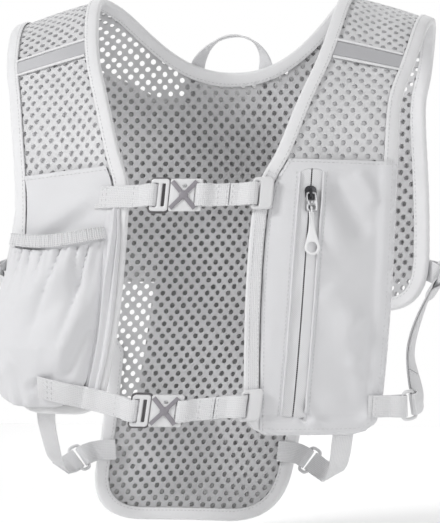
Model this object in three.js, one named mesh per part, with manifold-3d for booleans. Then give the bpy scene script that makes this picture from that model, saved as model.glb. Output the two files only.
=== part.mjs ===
// A running hydration vest: spacer-mesh back and chest panels edged in folded tape, a zipped pocket, a
// gathered bottle pocket beside a pleated pocket, a sleeve across the back, two buckled chest straps and
// webbing side adjusters.
// The vest keeps its worn shape. +Z is up, -Y is the wearer's front, +X the wearer's left, in millimetres.
// The origin lies midway between the two shoulder crests, level with them.
import * as THREE from "three";
import Module from "manifold-3d";
import { mergeVertices } from "three/addons/utils/BufferGeometryUtils.js";

// Body form
const backLength = 405; // shoulder crest down to the back hem
const frontLength = 322; // shoulder crest down to the hem of the chest panels
const chestDepth = 110; // shoulder crest forward to the chest
const bladeDepth = 84; // shoulder crest back to the shoulder blades
const neckHalfWidth = 95; // middle to the neck edge, at the crest
const shoulderHalfWidth = 160; // middle to the outer edge, at the crest
const shoulderFall = 20; // how far the crest falls from neck edge to outer edge
const shoulderBlend = 140; // path over which the crest's form fades into the chest and back
const wrapHalfWidth = 150; // where the two wraps below are measured
const frontWrap = 34; // how far the chest panels curve back at the sides
const backWrap = 58; // how far the back curves forward at the sides
const hemSway = 42; // how far the back hem hangs towards the wearer's right

// Outline of the back
const neckDrop = 57; // shoulder crest down to the middle of the neck edge
const neckRound = 2.2; // 2 is an ellipse, more is squarer
const wingDrop = 0.583 * backLength; // shoulder crest down to the wing's lower corner
const wingCorner = 30;
const waistHalfWidth = 82;
const hemHalfWidth = 77;
const hemCorner = 44;

// Cloth and trim
const meshThickness = 2.3;
const fabricThickness = 1.1;
const bindingWidth = 8;
const bindingWall = 0.9;
const bindingClearance = 0.95;
const clearance = 0.3;
const seamGap = 0.4; // between panels that are sewn edge to edge
const clothPitch = 22; // size of the facets of the flat panels

// Webbing and its fittings
const webbingWidth = 16;
const webbingThickness = 1.2;
const plasticThickness = 3.4;
const wireDiameter = 2.6;

// Side view of the body, as shares of length and depth, from the crest down
const frontProfile = [
  { down: 0.012, out: 0.164 },
  { down: 0.043, out: 0.336 },
  { down: 0.093, out: 0.5 },
  { down: 0.17, out: 0.68 },
  { down: 0.28, out: 0.845 },
  { down: 0.42, out: 0.945 },
  { down: 0.59, out: 1 },
  { down: 0.776, out: 0.99 },
  { down: 1.04, out: 0.945 },
];
const backProfile = [
  { down: 0.01, out: 0.19 },
  { down: 0.032, out: 0.357 },
  { down: 0.073, out: 0.5 },
  { down: 0.14, out: 0.62 },
  { down: 0.245, out: 0.786 },
  { down: 0.367, out: 0.93 },
  { down: 0.489, out: 1 },
  { down: 0.611, out: 0.976 },
  { down: 0.733, out: 0.893 },
  { down: 0.856, out: 0.81 },
  { down: 1.02, out: 0.76 },
];

// Edges of the chest panels: down is a share of the front length, inner and outer of the half widths
const leftPanelEdges = [
  { down: 0.07, inner: 0.95, outer: 0.97 },
  { down: 0.16, inner: 0.88, outer: 0.935 },
  { down: 0.255, inner: 0.766, outer: 0.89 },
  { down: 0.371, inner: 0.645, outer: 0.89 },
  { down: 0.45, inner: 0.53, outer: 0.895 },
  { down: 0.55, inner: 0.5, outer: 0.905 },
  { down: 0.75, inner: 0.53, outer: 0.925 },
  { down: 1.005, inner: 0.63, outer: 0.945 },
];
const rightPanelEdges = [
  { down: 0.07, inner: 0.95, outer: 0.99 },
  { down: 0.16, inner: 0.88, outer: 0.975 },
  { down: 0.255, inner: 0.76, outer: 0.935 },
  { down: 0.371, inner: 0.62, outer: 0.885 },
  { down: 0.45, inner: 0.52, outer: 0.855 },
  { down: 0.55, inner: 0.49, outer: 0.83 },
  { down: 0.75, inner: 0.48, outer: 0.805 },
  { down: 0.965, inner: 0.52, outer: 0.71 },
];
// Outer edge of the back, down to the wing's corner, as shares of the back length and shoulder half width
const backEdge = [
  { down: 0.11, outer: 0.98 },
  { down: 0.185, outer: 0.958 },
  { down: 0.257, outer: 0.965 },
  { down: 0.38, outer: 0.995 },
  { down: 0.49, outer: 1.02 },
];

const clamp = (value, low, high) => Math.min(high, Math.max(low, value));
const smooth = (value) => {
  const t = clamp(value, 0, 1);
  return t * t * (3 - 2 * t);
};
const lerp = (a, b, t) => a + (b - a) * t;
const v3 = (x, y, z) => new THREE.Vector3(x, y, z);

// The side profile is one curve from the front hem over the crest to the back hem.
const profileCurve = new THREE.CatmullRomCurve3(
  [
    ...frontProfile.toReversed().map((row) => v3(0, -row.out * chestDepth, -row.down * frontLength)),
    v3(0, 0, 0),
    ...backProfile.map((row) => v3(0, row.out * bladeDepth, -row.down * backLength)),
  ],
  false,
  "centripetal",
);
profileCurve.arcLengthDivisions = 900;
const profileLength = profileCurve.getLength();
const crestAt = (() => {
  const lengths = profileCurve.getLengths();
  const share = frontProfile.length / (frontProfile.length + backProfile.length);
  return lengths[Math.round(share * (lengths.length - 1))];
})();

// A point of the side profile. Path is the length along it from the crest, negative in front.
function profileAt(path) {
  return profileCurve.getPointAt(clamp((path + crestAt) / profileLength, 0, 1));
}

// The path at which the side profile has dropped that far below the crest. Side is -1 in front and 1 behind.
function pathAtDrop(drop, side) {
  let near = 0;
  let far = side < 0 ? -crestAt : profileLength - crestAt;
  for (let i = 0; i < 40; i++) {
    const middle = (near + far) / 2;
    if (-profileAt(middle).z < drop) near = middle;
    else far = middle;
  }
  return (near + far) / 2;
}

const swayAt = (z) => -hemSway * (Math.min(z, 0) / backLength) ** 2;

// The surface that the cloth lies on, at x across and path along.
function bodyPoint(x, path) {
  const side = profileAt(path);
  const away = smooth(Math.abs(path) / shoulderBlend);
  const wrap = (path < 0 ? frontWrap : -backWrap) * away * (x / wrapHalfWidth) ** 2;
  const fall = (shoulderFall * (x * x - neckHalfWidth ** 2)) / (shoulderHalfWidth ** 2 - neckHalfWidth ** 2);
  const z = side.z - fall * (1 - away);
  return v3(x + swayAt(z), side.y + wrap, z);
}

const step = 1.5;
function bodyFrame(x, path) {
  const at = bodyPoint(x, path);
  const across = bodyPoint(x + step, path).sub(bodyPoint(x - step, path)).multiplyScalar(0.5 / step);
  const along = bodyPoint(x, path + step).sub(bodyPoint(x, path - step)).multiplyScalar(0.5 / step);
  const normal = across.clone().cross(along).normalize();
  return { at, across, along, normal };
}

// A point that stands proud of the body form.
function place(x, path, proud) {
  const frame = bodyFrame(x, path);
  return frame.at.addScaledVector(frame.normal, proud);
}

// Solids from triangles

// Builds a geometry, and turns its faces round if they point inwards.
function solid(points, triangles) {
  let volume = 0;
  for (const [a, b, c] of triangles) {
    volume += points[a].clone().cross(points[b]).dot(points[c]);
  }
  const geometry = new THREE.BufferGeometry();
  geometry.setAttribute(
    "position",
    new THREE.BufferAttribute(new Float32Array(points.flatMap((p) => p.toArray())), 3),
  );
  geometry.setIndex(triangles.flatMap(([a, b, c]) => (volume < 0 ? [a, c, b] : [a, b, c])));
  return geometry;
}

// Joins sections of equal point counts. An open row is capped at both ends.
function loft(sections, closed = false) {
  const count = sections[0].length;
  const points = sections.flat();
  const triangles = [];
  const last = closed ? sections.length : sections.length - 1;
  for (let j = 0; j < last; j++) {
    const next = (j + 1) % sections.length;
    for (let i = 0; i < count; i++) {
      const k = (i + 1) % count;
      triangles.push([j * count + i, j * count + k, next * count + k]);
      triangles.push([j * count + i, next * count + k, next * count + i]);
    }
  }
  if (!closed) {
    const flat = capTriangles(sections[0]);
    for (const [a, b, c] of flat) triangles.push([a, c, b]);
    const end = (sections.length - 1) * count;
    for (const [a, b, c] of flat) triangles.push([end + a, end + b, end + c]);
  }
  return solid(points, triangles);
}

// Triangles of a flat section, which may be hollow on one side.
function capTriangles(section) {
  const origin = section[0];
  const axisU = section[1].clone().sub(origin).normalize();
  const normal = v3(0, 0, 0);
  section.forEach((p, i) => {
    const next = section[(i + 1) % section.length];
    normal.add(p.clone().sub(origin).cross(next.clone().sub(origin)));
  });
  const axisV = normal.normalize().cross(axisU);
  const flat = section.map((p) => {
    const from = p.clone().sub(origin);
    return new THREE.Vector2(from.dot(axisU), from.dot(axisV));
  });
  return THREE.ShapeUtils.triangulateShape(flat, []);
}

// Keeps the part of a flat polygon on one side of a line at value on the axis.
function clip(polygon, axis, value, sign) {
  const kept = [];
  polygon.forEach((p, index) => {
    const q = polygon[(index + 1) % polygon.length];
    const [dp, dq] = [(p[axis] - value) * sign, (q[axis] - value) * sign];
    if (dp >= 0) kept.push(p);
    if ((dp > 0 && dq < 0) || (dp < 0 && dq > 0)) {
      const t = dp / (dp - dq);
      const cut = [lerp(p[0], q[0], t), lerp(p[1], q[1], t)];
      cut[axis] = value;
      kept.push(cut);
    }
  });
  return kept;
}

// Rows of facets: a new row starts where a facet would stand this far off the body form, or after a pitch.
const rowSag = 0.3;
function facetRows() {
  const rows = [0];
  for (const side of [-1, 1]) {
    let start = 0;
    for (let path = 0; Math.abs(path) < profileLength; path += side) {
      const turns = [0, shoulderHalfWidth].map((x) => directionAt(x, path).angleTo(directionAt(x, start)));
      const turned = Math.max(...turns);
      const long = Math.abs(path - start);
      if ((turned * long) / 8 < rowSag && long < clothPitch) continue;
      start = path;
      rows.push(path);
    }
  }
  return rows.sort((a, b) => a - b);
}

function directionAt(x, path) {
  return bodyPoint(x, path + step).sub(bodyPoint(x, path - step)).normalize();
}

const rows = facetRows();

// Cuts a flat outline into facets no wider than the pitch, so that it can follow the body.
function cutCloth(outline, pitch) {
  const points = [];
  const triangles = [];
  const index = new Map();
  const numberOf = (p) => {
    const key = `${Math.round(p[0] * 50)},${Math.round(p[1] * 50)}`;
    if (!index.has(key)) {
      index.set(key, points.length);
      points.push(p);
    }
    return index.get(key);
  };
  const span = (axis) => outline.map((p) => p[axis]);
  const lastColumn = Math.ceil(Math.max(...span(0)) / pitch);
  const [low, high] = [Math.min(...span(1)), Math.max(...span(1))];
  for (let column = Math.floor(Math.min(...span(0)) / pitch); column < lastColumn; column++) {
    const strip = clip(clip(outline, 0, column * pitch, 1), 0, (column + 1) * pitch, -1);
    for (let row = 1; row < rows.length; row++) {
      if (rows[row] <= low || rows[row - 1] >= high) continue;
      const cell = clip(clip(strip, 1, rows[row - 1], 1), 1, rows[row], -1);
      const corners = [...new Set(cell.map(numberOf))];
      if (corners.length < 3) continue;
      const flat = corners.map((n) => new THREE.Vector2(...points[n]));
      for (const [a, b, c] of THREE.ShapeUtils.triangulateShape(flat, [])) {
        triangles.push([corners[a], corners[b], corners[c]]);
      }
    }
  }
  return { points, triangles };
}

// Cloth on the body, between two heights above it. Each height is a number or a function of x and path.
function clothOnBody(outline, innerHeight, outerHeight, pitch = clothPitch) {
  const { points, triangles } = cutCloth(outline, pitch);
  const height = (value, p) => (typeof value === "function" ? value(...p) : value);
  const inner = points.map((p) => place(...p, height(innerHeight, p)));
  const outer = points.map((p) => place(...p, height(outerHeight, p)));
  const lift = points.length;
  const faces = [];
  const edges = new Map();
  for (const [a, b, c] of triangles) {
    faces.push([a, b, c], [a + lift, c + lift, b + lift]);
    for (const [p, q] of [[a, b], [b, c], [c, a]]) {
      if (edges.delete(`${q},${p}`)) continue;
      edges.set(`${p},${q}`, [p, q]);
    }
  }
  for (const [p, q] of edges.values()) faces.push([q, p, p + lift], [q, p + lift, q + lift]);
  return solid([...inner, ...outer], faces);
}

// Outlines, as points of x and path

const front = (drop) => pathAtDrop(drop, -1);
const back = (drop) => pathAtDrop(drop, 1);
const frontDown = (share) => front(share * frontLength);

// Points at about that spacing on a smooth line through the given ones.
function spaced(points, spacing = clothPitch) {
  const curve = new THREE.SplineCurve(points.map((p) => new THREE.Vector2(...p)));
  return curve.getSpacedPoints(Math.max(1, Math.round(curve.getLength() / spacing))).map((p) => [p.x, p.y]);
}

// Adds a point wherever the line crosses a row of facets, and drops the others that stand closer than near.
function onRows(line, near = 12) {
  const result = [];
  line.forEach((p, index) => {
    result.push({ at: p, keep: index === 0 || index === line.length - 1 });
    const q = line[index + 1];
    if (!q) return;
    const crossed = rows.filter((row) => (row - p[1]) * (row - q[1]) < 0);
    if (q[1] < p[1]) crossed.reverse();
    for (const row of crossed) {
      const t = (row - p[1]) / (q[1] - p[1]);
      result.push({ at: [lerp(p[0], q[0], t), row], keep: true });
    }
  });
  const crossings = result.filter((p) => p.keep);
  const clear = (p) => crossings.every((q) => Math.hypot(p.at[0] - q.at[0], p.at[1] - q.at[1]) > near);
  return result.filter((p) => p.keep || clear(p)).map((p) => p.at);
}

// A curve in place of a corner. It starts and ends at that radius from it.
function turnCorner(before, corner, after, radius, steps = 4) {
  const middle = new THREE.Vector2(...corner);
  const towards = (p) => new THREE.Vector2(...p).sub(middle).setLength(radius).add(middle);
  const curve = new THREE.QuadraticBezierCurve(towards(before), middle, towards(after));
  return curve.getPoints(steps).map((p) => [p.x, p.y]);
}

// The value of one column of a table of edges, at a path in front.
function edgeAt(table, key, half, path) {
  const known = [{ down: 0, [key]: 1 }, ...table].map((row) => [frontDown(row.down), row[key] * half]);
  const curve = new THREE.SplineCurve(known.map((p) => new THREE.Vector2(...p)));
  const samples = curve.getPoints(160);
  const next = samples.findIndex((p) => p.x <= path);
  if (next < 1) return next < 0 ? samples.at(-1).y : samples[0].y;
  const [p, q] = [samples[next - 1], samples[next]];
  return lerp(p.y, q.y, (path - p.x) / (q.x - p.x));
}
const innerEdge = (table, path) => edgeAt(table, "inner", neckHalfWidth, path);
const outerEdge = (table, path) => edgeAt(table, "outer", shoulderHalfWidth, path);

// The part of a chest panel between two paths, drawn in by an inset on each edge.
function frontPiece(table, side, top, bottom, inset, corner = 0) {
  const paths = [];
  const count = Math.max(2, Math.round((top - bottom) / clothPitch));
  for (let i = 0; i <= count; i++) paths.push(lerp(top, bottom, i / count));
  const drawnIn = (edge, path) => inset * Math.hypot(1, (edge(table, path + 6) - edge(table, path - 6)) / 12);
  const inner = paths.map((path) => [side * (innerEdge(table, path) + drawnIn(innerEdge, path)), path]);
  const outer = paths.map((path) => [side * (outerEdge(table, path) - drawnIn(outerEdge, path)), path]);
  return closeFront(inner, outer, corner);
}

// Joins an inner and an outer edge by a hem with round corners.
function closeFront(inner, outer, corner) {
  const [innerEnd, outerEnd] = [inner.at(-1), outer.at(-1)];
  const above = (line, end) => line.filter((p) => p[1] > end[1] + corner + 3);
  const bend = (line, end, after) => (corner ? turnCorner(line.at(-2), end, after, corner) : [end]);
  const innerLine = [...above(inner, innerEnd), ...bend(inner, innerEnd, outerEnd)];
  const outerLine = [...above(outer, outerEnd), ...bend(outer, outerEnd, innerEnd)];
  const hem = spaced([innerLine.at(-1), outerLine.at(-1)]).slice(1, -1);
  const edge = onRows([...innerLine, ...hem, ...outerLine.toReversed()]);
  return { edge, whole: [...edge, ...spaced([outerLine[0], innerLine[0]]).slice(1, -1)] };
}

const panelCorner = 20;
const wholePanel = (table, side) => (
  frontPiece(table, side, -seamGap / 2, frontDown(table.at(-1).down), 0, panelCorner)
);
const leftPanel = wholePanel(leftPanelEdges, 1);
const rightPanel = wholePanel(rightPanelEdges, -1);

const mirrored = (points) => points.map(([x, path]) => [-x, path]);

// Half of the neck edge, from the middle to the crest.
function neckHalf() {
  const points = [];
  const count = 10;
  const drop = back(neckDrop) - seamGap / 2;
  for (let i = 0; i <= count; i++) {
    const turn = (Math.PI / 2) * (i / count);
    const x = neckHalfWidth * Math.sin(turn) ** (2 / neckRound);
    points.push([x, seamGap / 2 + drop * Math.cos(turn) ** (2 / (neckRound - 1))]);
  }
  return onRows(points);
}

// Half of the outer edge of the back, from the crest round the wing and waist to the middle of the hem.
function backHalf() {
  const wingX = backEdge.at(-1).outer * shoulderHalfWidth;
  const known = [[shoulderHalfWidth, seamGap / 2]];
  for (const row of backEdge) known.push([row.outer * shoulderHalfWidth, back(row.down * backLength)]);
  const wing = spaced(known);
  const wingTip = [wingX, back(wingDrop)];
  const waistTurn = [lerp(waistHalfWidth, wingX, 0.34), back(wingDrop + 1)];
  const waist = [waistHalfWidth, back(wingDrop + 38)];
  const hip = [hemHalfWidth, back(backLength) - hemCorner - 4];
  const tip = [hemHalfWidth, back(backLength)];
  const middle = [0, back(backLength)];
  const line = [
    ...wing.filter((p) => p[1] < wingTip[1] - wingCorner - 3),
    ...turnCorner(wing.at(-1), wingTip, waistTurn, wingCorner),
    ...turnCorner(wingTip, waistTurn, waist, 18),
    ...spaced([waist, [lerp(waistHalfWidth, hemHalfWidth, 0.8), back(wingDrop + 95)], hip]),
    ...turnCorner(hip, tip, middle, hemCorner).slice(0, -1),
    ...spaced([[hemHalfWidth - hemCorner, tip[1]], middle]),
  ];
  return onRows(line);
}

const neckLine = neckHalf();
const backLine = backHalf();
const crestLine = spaced([neckLine.at(-1), backLine[0]]).slice(1, -1);
const neckEdge = [...mirrored(neckLine.slice(1)).reverse(), ...neckLine];
const backEdgeLine = [...backLine, ...mirrored(backLine.slice(0, -1)).reverse()];
const backPanel = [...neckEdge, ...crestLine, ...backEdgeLine, ...mirrored(crestLine).reverse()];

// Sweeps a section along a line on the body. The section holds offsets to the side and up from the cloth.
function trim(line, section, side, lift = 0, flatEnds = true) {
  const sections = line.map((p, i) => {
    const before = line[Math.max(i - 1, 0)];
    const after = line[Math.min(i + 1, line.length - 1)];
    const a = new THREE.Vector2(p[0] - before[0], p[1] - before[1]).normalize();
    const b = new THREE.Vector2(after[0] - p[0], after[1] - p[1]).normalize();
    const along = a.clone().add(b).normalize();
    const end = i === 0 || i === line.length - 1;
    const mitre = end ? 1 : 1 / Math.max(0.7, along.dot(b));
    const sideways = new THREE.Vector2(-along.y, along.x).multiplyScalar(side * mitre);
    if (end && flatEnds) sideways.set(Math.sign(sideways.x) || 1, 0);
    const up = typeof lift === "function" ? lift(...p) : lift;
    return section.map(([s, u]) => place(p[0] + s * sideways.x, p[1] + s * sideways.y, u + up));
  });
  return loft(sections);
}

// Tape folded over an edge, as seen from its end.
function foldedTape(width = bindingWidth) {
  const [c, o, t] = [bindingClearance, bindingClearance + bindingWall, meshThickness];
  return [
    [width, -o], [-o, -o], [-o, t + o], [width, t + o],
    [width, t + c], [-c, t + c], [-c, -c], [width, -c],
  ];
}
const flatBand = (width, bottom, top) => [
  [-width / 2, bottom], [width / 2, bottom], [width / 2, top], [-width / 2, top],
];

// Webbing and fittings, drawn flat with their length along x, width along y and height along z

// Webbing of one thickness along a line of length and height.
function webbing(line, width = webbingWidth, thickness = webbingThickness) {
  const points = line.map((p) => new THREE.Vector2(...p));
  const sections = points.map((p, i) => {
    const a = p.clone().sub(points[Math.max(i - 1, 0)]).normalize();
    const b = points[Math.min(i + 1, points.length - 1)].clone().sub(p).normalize();
    const along = a.add(b).normalize();
    const half = thickness / 2 / Math.max(0.85, b.lengthSq() ? along.dot(b) : 1);
    const [dx, dz] = [-along.y * half, along.x * half];
    const w = width / 2;
    return [[-1, -w], [-1, w], [1, w], [1, -w]].map(([face, y]) => v3(p.x + face * dx, y, p.y + face * dz));
  });
  return loft(sections);
}

// Webbing folded round a bar, as a line of length and height: in below the bar, half round it, and back above
// it to backTo. Base is the height of the lower layer away from the bar.
const foldReach = 9;
function foldedRound({ from, bar, height, radius, base, backTo, pitch = 18 }) {
  const way = Math.sign(bar - from);
  const upper = base + webbingThickness + seamGap;
  const level = (s, far, near) => lerp(near, far, smooth((Math.abs(s - bar) - 2) / foldReach));
  const stops = (start, end) => {
    const count = Math.max(1, Math.round(Math.abs(end - start) / pitch));
    return Array.from({ length: count + 1 }, (_, i) => lerp(start, end, i / count));
  };
  const shoulder = bar - way * (foldReach + 2);
  const approach = [0.66, 0.33].map((u) => bar - way * (2 + foldReach * u));
  const below = [...stops(from, shoulder), ...approach];
  const above = [...approach.toReversed(), ...stops(shoulder, backTo)];
  const turns = [-1, -0.5, 0, 0.5, 1];
  return [
    ...below.map((s) => [s, level(s, base, height - radius)]),
    ...turns.map((turn) => [
      bar + way * radius * Math.cos((turn * Math.PI) / 2),
      height + radius * Math.sin((turn * Math.PI) / 2),
    ]),
    ...above.map((s) => [s, level(s, upper, height + radius)]),
  ];
}

// A loop of webbing between two bars, with its ends meeting on top.
function loopBetween({ left, right, seam, height, radius, base }) {
  const middle = (left + right) / 2;
  const leftHalf = foldedRound({ from: middle, bar: left, height, radius, base, backTo: seam - 0.4 });
  const rightHalf = foldedRound({ from: middle, bar: right, height, radius, base, backTo: seam + 0.4 });
  return [...leftHalf.toReversed(), ...rightHalf.slice(1)];
}

function roundedBox(width, height, radius, path = new THREE.Shape()) {
  const [x, y] = [width / 2, height / 2];
  path.moveTo(-x + radius, -y);
  path.lineTo(x - radius, -y);
  path.absarc(x - radius, -y + radius, radius, -Math.PI / 2, 0, false);
  path.absarc(x - radius, y - radius, radius, 0, Math.PI / 2, false);
  path.absarc(-x + radius, y - radius, radius, Math.PI / 2, Math.PI, false);
  path.absarc(-x + radius, -y + radius, radius, Math.PI, 1.5 * Math.PI, false);
  return path;
}

function hole(centre, points) {
  return new THREE.Path(points.map(([x, y]) => new THREE.Vector2(x + centre, y)));
}
const slot = (centre, width, height) => hole(centre, [
  [-width / 2, -height / 2], [width / 2, -height / 2], [width / 2, height / 2], [-width / 2, height / 2],
]);

// A plate of moulded plastic or metal, with its edges broken, its middle at height 0.
function plate(shape, thickness, bevel = 0.5, curveSegments = 2) {
  const geometry = new THREE.ExtrudeGeometry(shape, {
    depth: thickness - 2 * bevel,
    curveSegments,
    bevelEnabled: bevel > 0,
    bevelThickness: bevel,
    bevelSize: bevel,
    bevelOffset: -bevel,
    bevelSegments: 1,
  });
  return geometry.translate(0, 0, -thickness / 2 + bevel);
}

// Moves a flat piece onto the body. Drift shifts it up the chest and lift raises it, both by place.
function onBody(geometry, { x, path, drift = () => 0, lift = () => 0 }) {
  return remap(geometry, (p) => {
    const at = [x + p.x, path + p.y + drift(p.x)];
    return place(...at, p.z + lift(...at));
  });
}

function remap(geometry, move) {
  const result = geometry.clone();
  const position = result.attributes.position;
  for (let i = 0; i < position.count; i++) {
    const p = move(new THREE.Vector3().fromBufferAttribute(position, i));
    position.setXYZ(i, p.x, p.y, p.z);
  }
  return result;
}

// Moves a flat piece onto a line in space. Its normal turns from the first of three to the last.
function onLine(geometry, { line, normals }) {
  const length = line.getLength();
  return remap(geometry, (p) => {
    const t = clamp(p.x / length, 0, 1);
    const tangent = line.getTangentAt(t);
    const wanted = v3(0, 0, 0);
    [(1 - t) ** 2, 2 * t * (1 - t), t * t].forEach((part, i) => wanted.addScaledVector(normals[i], part));
    const widthways = wanted.cross(tangent).normalize();
    const normal = tangent.clone().cross(widthways);
    const at = line.getPointAt(t).addScaledVector(tangent, p.x - t * length);
    return at.addScaledVector(widthways, p.y).addScaledVector(normal, p.z);
  });
}

// Solid joins and cuts
const wasm = await Module();
wasm.setup();
function toManifold(geometry) {
  const bare = geometry.clone();
  bare.deleteAttribute("normal");
  bare.deleteAttribute("uv");
  const merged = mergeVertices(bare, 1e-4);
  return new wasm.Manifold(new wasm.Mesh({
    numProp: 3,
    vertProperties: new Float32Array(merged.attributes.position.array),
    triVerts: new Uint32Array(merged.index.array),
  }));
}
function fromManifold(body) {
  const mesh = body.getMesh();
  const geometry = new THREE.BufferGeometry();
  geometry.setAttribute("position", new THREE.BufferAttribute(new Float32Array(mesh.vertProperties), 3));
  geometry.setIndex([...mesh.triVerts]);
  return geometry;
}
const join = (...parts) => fromManifold(parts.map(toManifold).reduce((a, b) => a.add(b)));
const cut = (body, ...tools) => (
  fromManifold(tools.map(toManifold).reduce((a, b) => a.subtract(b), toManifold(body)))
);

// Materials
const material = (color, roughness, metalness = 0) =>
  new THREE.MeshStandardMaterial({ color, roughness, metalness });
const meshCloth = material(0xd2d2d4, 0.9);
const smoothCloth = material(0xe2e2e4, 0.75);
const tapeCloth = material(0xe6e6e8, 0.8);
const reflectiveCloth = material(0xb9b9bc, 0.45);
const strapCloth = material(0xdcdcde, 0.8);
const greyPlastic = material(0x96949a, 0.5);
const darkMetal = material(0x55545a, 0.35, 0.8);
const greyMetal = material(0xa9a9ad, 0.35, 0.85);
const whiteRubber = material(0xeeeef0, 0.6);

const vest = new THREE.Group();
function add(name, geometry, look) {
  const mesh = new THREE.Mesh(geometry, look);
  mesh.name = name;
  vest.add(mesh);
}

// Heights above the body form at which the layers lie
const t = meshThickness;
const overMesh = t + 0.5; // a piece that lies on a panel
const overTape = t + bindingClearance + bindingWall + 0.4; // a piece that crosses the folded tape
const inset = bindingWidth + 1.4; // from the edge of a panel to a piece between its tapes

// Panels and the tape folded over their edges
add("back_panel", clothOnBody(backPanel, 0, t), meshCloth);
add("left_front_panel", clothOnBody(leftPanel.whole, 0, t), meshCloth);
add("right_front_panel", clothOnBody(rightPanel.whole, 0, t), meshCloth);
add("left_front_binding", trim(leftPanel.edge, foldedTape(), 1), tapeCloth);
add("right_front_binding", trim(rightPanel.edge, foldedTape(), -1), tapeCloth);
add("neck_binding", trim(neckEdge, foldedTape(), 1), tapeCloth);
add("back_binding", trim(backEdgeLine, foldedTape(), 1), tapeCloth);

// Reflective strips across the shoulders, each between two lines of piping
const stripWidth = 13;
const pipingWidth = 2.4;
const stripInset = 2.6;
const strips = [
  { name: "left", table: leftPanelEdges, side: 1, innerDown: 0.138, outerDown: 0.157 },
  { name: "right", table: rightPanelEdges, side: -1, innerDown: 0.127, outerDown: 0.156 },
];
for (const { name, table, side, innerDown, outerDown } of strips) {
  const [from, to] = [frontDown(innerDown), frontDown(outerDown)];
  const line = spaced([
    [side * (innerEdge(table, from) + inset + stripInset), from],
    [side * (outerEdge(table, to) - inset - stripInset), to],
  ], 9);
  const shifted = (by) => line.map(([x, path]) => [x, path + by]);
  const level = (band, by) => trim(shifted(by), band, 1, 0, false);
  add(`${name}_reflective_strip`, level(flatBand(stripWidth, overMesh, overMesh + 0.8), 0), reflectiveCloth);
  const away = stripWidth / 2 + pipingWidth / 2 + 0.6;
  const round = flatBand(pipingWidth, overMesh, overMesh + 1.6);
  add(`${name}_upper_piping`, level(round, away), tapeCloth);
  add(`${name}_lower_piping`, level(round, -away), tapeCloth);
}

// Zipped pocket on the left chest panel
const zipPocketTop = 0.392;
const zipPocketBottom = 0.968;
const zipPocketBulge = 4;
const zipLine = [
  { down: 0.425, across: 0.895 },
  { down: 0.6, across: 0.905 },
  { down: 0.8, across: 0.93 },
  { down: 0.945, across: 0.955 },
]; // across is the share of the neck half width
const zipMouth = 14;
const pocketPitch = 18; // size of the facets of a crowned pocket
const zipTapeWidth = 7;
const zipTapeThickness = 0.9;
const coilWidth = 3.2;
const coilThickness = 1.5;
const share = (value, from, to) => clamp((value - from) / (to - from), 0, 1);
const hump = (u) => Math.sin(Math.PI * clamp(u, 0, 1));
const [pocketHigh, pocketLow] = [frontDown(zipPocketTop), frontDown(zipPocketBottom)];
function zipPocketLift(x, path) {
  const u = share(x, innerEdge(leftPanelEdges, path) + inset, outerEdge(leftPanelEdges, path) - inset);
  const v = share(path, pocketHigh, pocketLow);
  return overMesh + zipPocketBulge * hump(u) ** 0.8 * Math.min(1, 5 * v, 5 * (1 - v)) ** 0.5;
}
const zipPath = spaced(zipLine.map((row) => [row.across * neckHalfWidth, frontDown(row.down)]), 11);
const zipStart = zipPath[0];
const zipTurn = Math.atan2(zipPath[3][1] - zipStart[1], zipPath[3][0] - zipStart[0]) + Math.PI / 2;
const zipPocketOutline = frontPiece(leftPanelEdges, 1, pocketHigh, pocketLow, inset, panelCorner).whole;
const zipPocketFace = (x, path) => zipPocketLift(x, path) + fabricThickness;
const zipPocket = clothOnBody(zipPocketOutline, zipPocketLift, zipPocketFace, pocketPitch);
const alongZip = (band, line, lift = zipPocketLift, flat = false) => trim(line, band, 1, lift, flat);
add("zip_pocket", cut(zipPocket, alongZip(flatBand(zipMouth, -4, 6), zipPath)), smoothCloth);
const tapeTop = -1.1; // under the pocket cloth
const zipInside = zipPath.slice(0, -1);
const zipBand = (from, to, low, high) => [[from, low], [to, low], [to, high], [from, high]];
const zipTape = (from, to) => alongZip(zipBand(from, to, tapeTop - zipTapeThickness, tapeTop), zipInside);
add("zip_tape_inner", zipTape(-zipTapeWidth - clearance, -clearance), tapeCloth);
add("zip_tape_outer", zipTape(clearance, zipTapeWidth + clearance), tapeCloth);
const coilLow = tapeTop + clearance + 0.05;
const coilTop = coilLow + coilThickness;
add("zip_coil", alongZip(zipBand(-coilWidth / 2, coilWidth / 2, coilLow, coilTop), zipInside), greyPlastic);

// Slider with its bridge, the hard pull tab that hangs from the bridge, and the moulded grip on the tab
const sliderDown = 15;
const sliderLength = 11;
const sliderWidth = 8.6;
const sliderPlate = 1.6;
const bridgeHeight = 2.5;
const bridgeOpening = 4;
const bridgeWall = 1.4;
const bridgeWidth = 2.6;
const pullSwing = 140; // degrees
const tabThickness = 1.2;
const tabLength = 14;
const tabWidth = 8.6;
const gripLength = 33;
const gripWidth = 11;
const [sliderX, sliderPath] = [
  lerp(zipPath[1][0], zipPath[2][0], (sliderDown - 11) / 11),
  lerp(zipPath[1][1], zipPath[2][1], (sliderDown - 11) / 11),
];
const plateLow = coilTop + clearance;
const plateHigh = plateLow + sliderPlate;
const hingeHeight = plateHigh + bridgeHeight / 2;
const sliderLift = zipPocketLift(sliderX, sliderPath);
const sliderFrame = bodyFrame(sliderX, sliderPath);

// Sets a piece rigidly on the slider: x across, y up the chest, z away from it, from the hinge's middle.
function atHinge(geometry) {
  const across = sliderFrame.across.clone().normalize();
  const turned = across.clone().applyAxisAngle(sliderFrame.normal, zipTurn);
  const basis = new THREE.Matrix4().makeBasis(
    turned,
    sliderFrame.normal.clone().cross(turned),
    sliderFrame.normal,
  );
  const at = sliderFrame.at.clone().addScaledVector(sliderFrame.normal, sliderLift + hingeHeight);
  return geometry.applyMatrix4(basis.setPosition(at));
}
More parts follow.
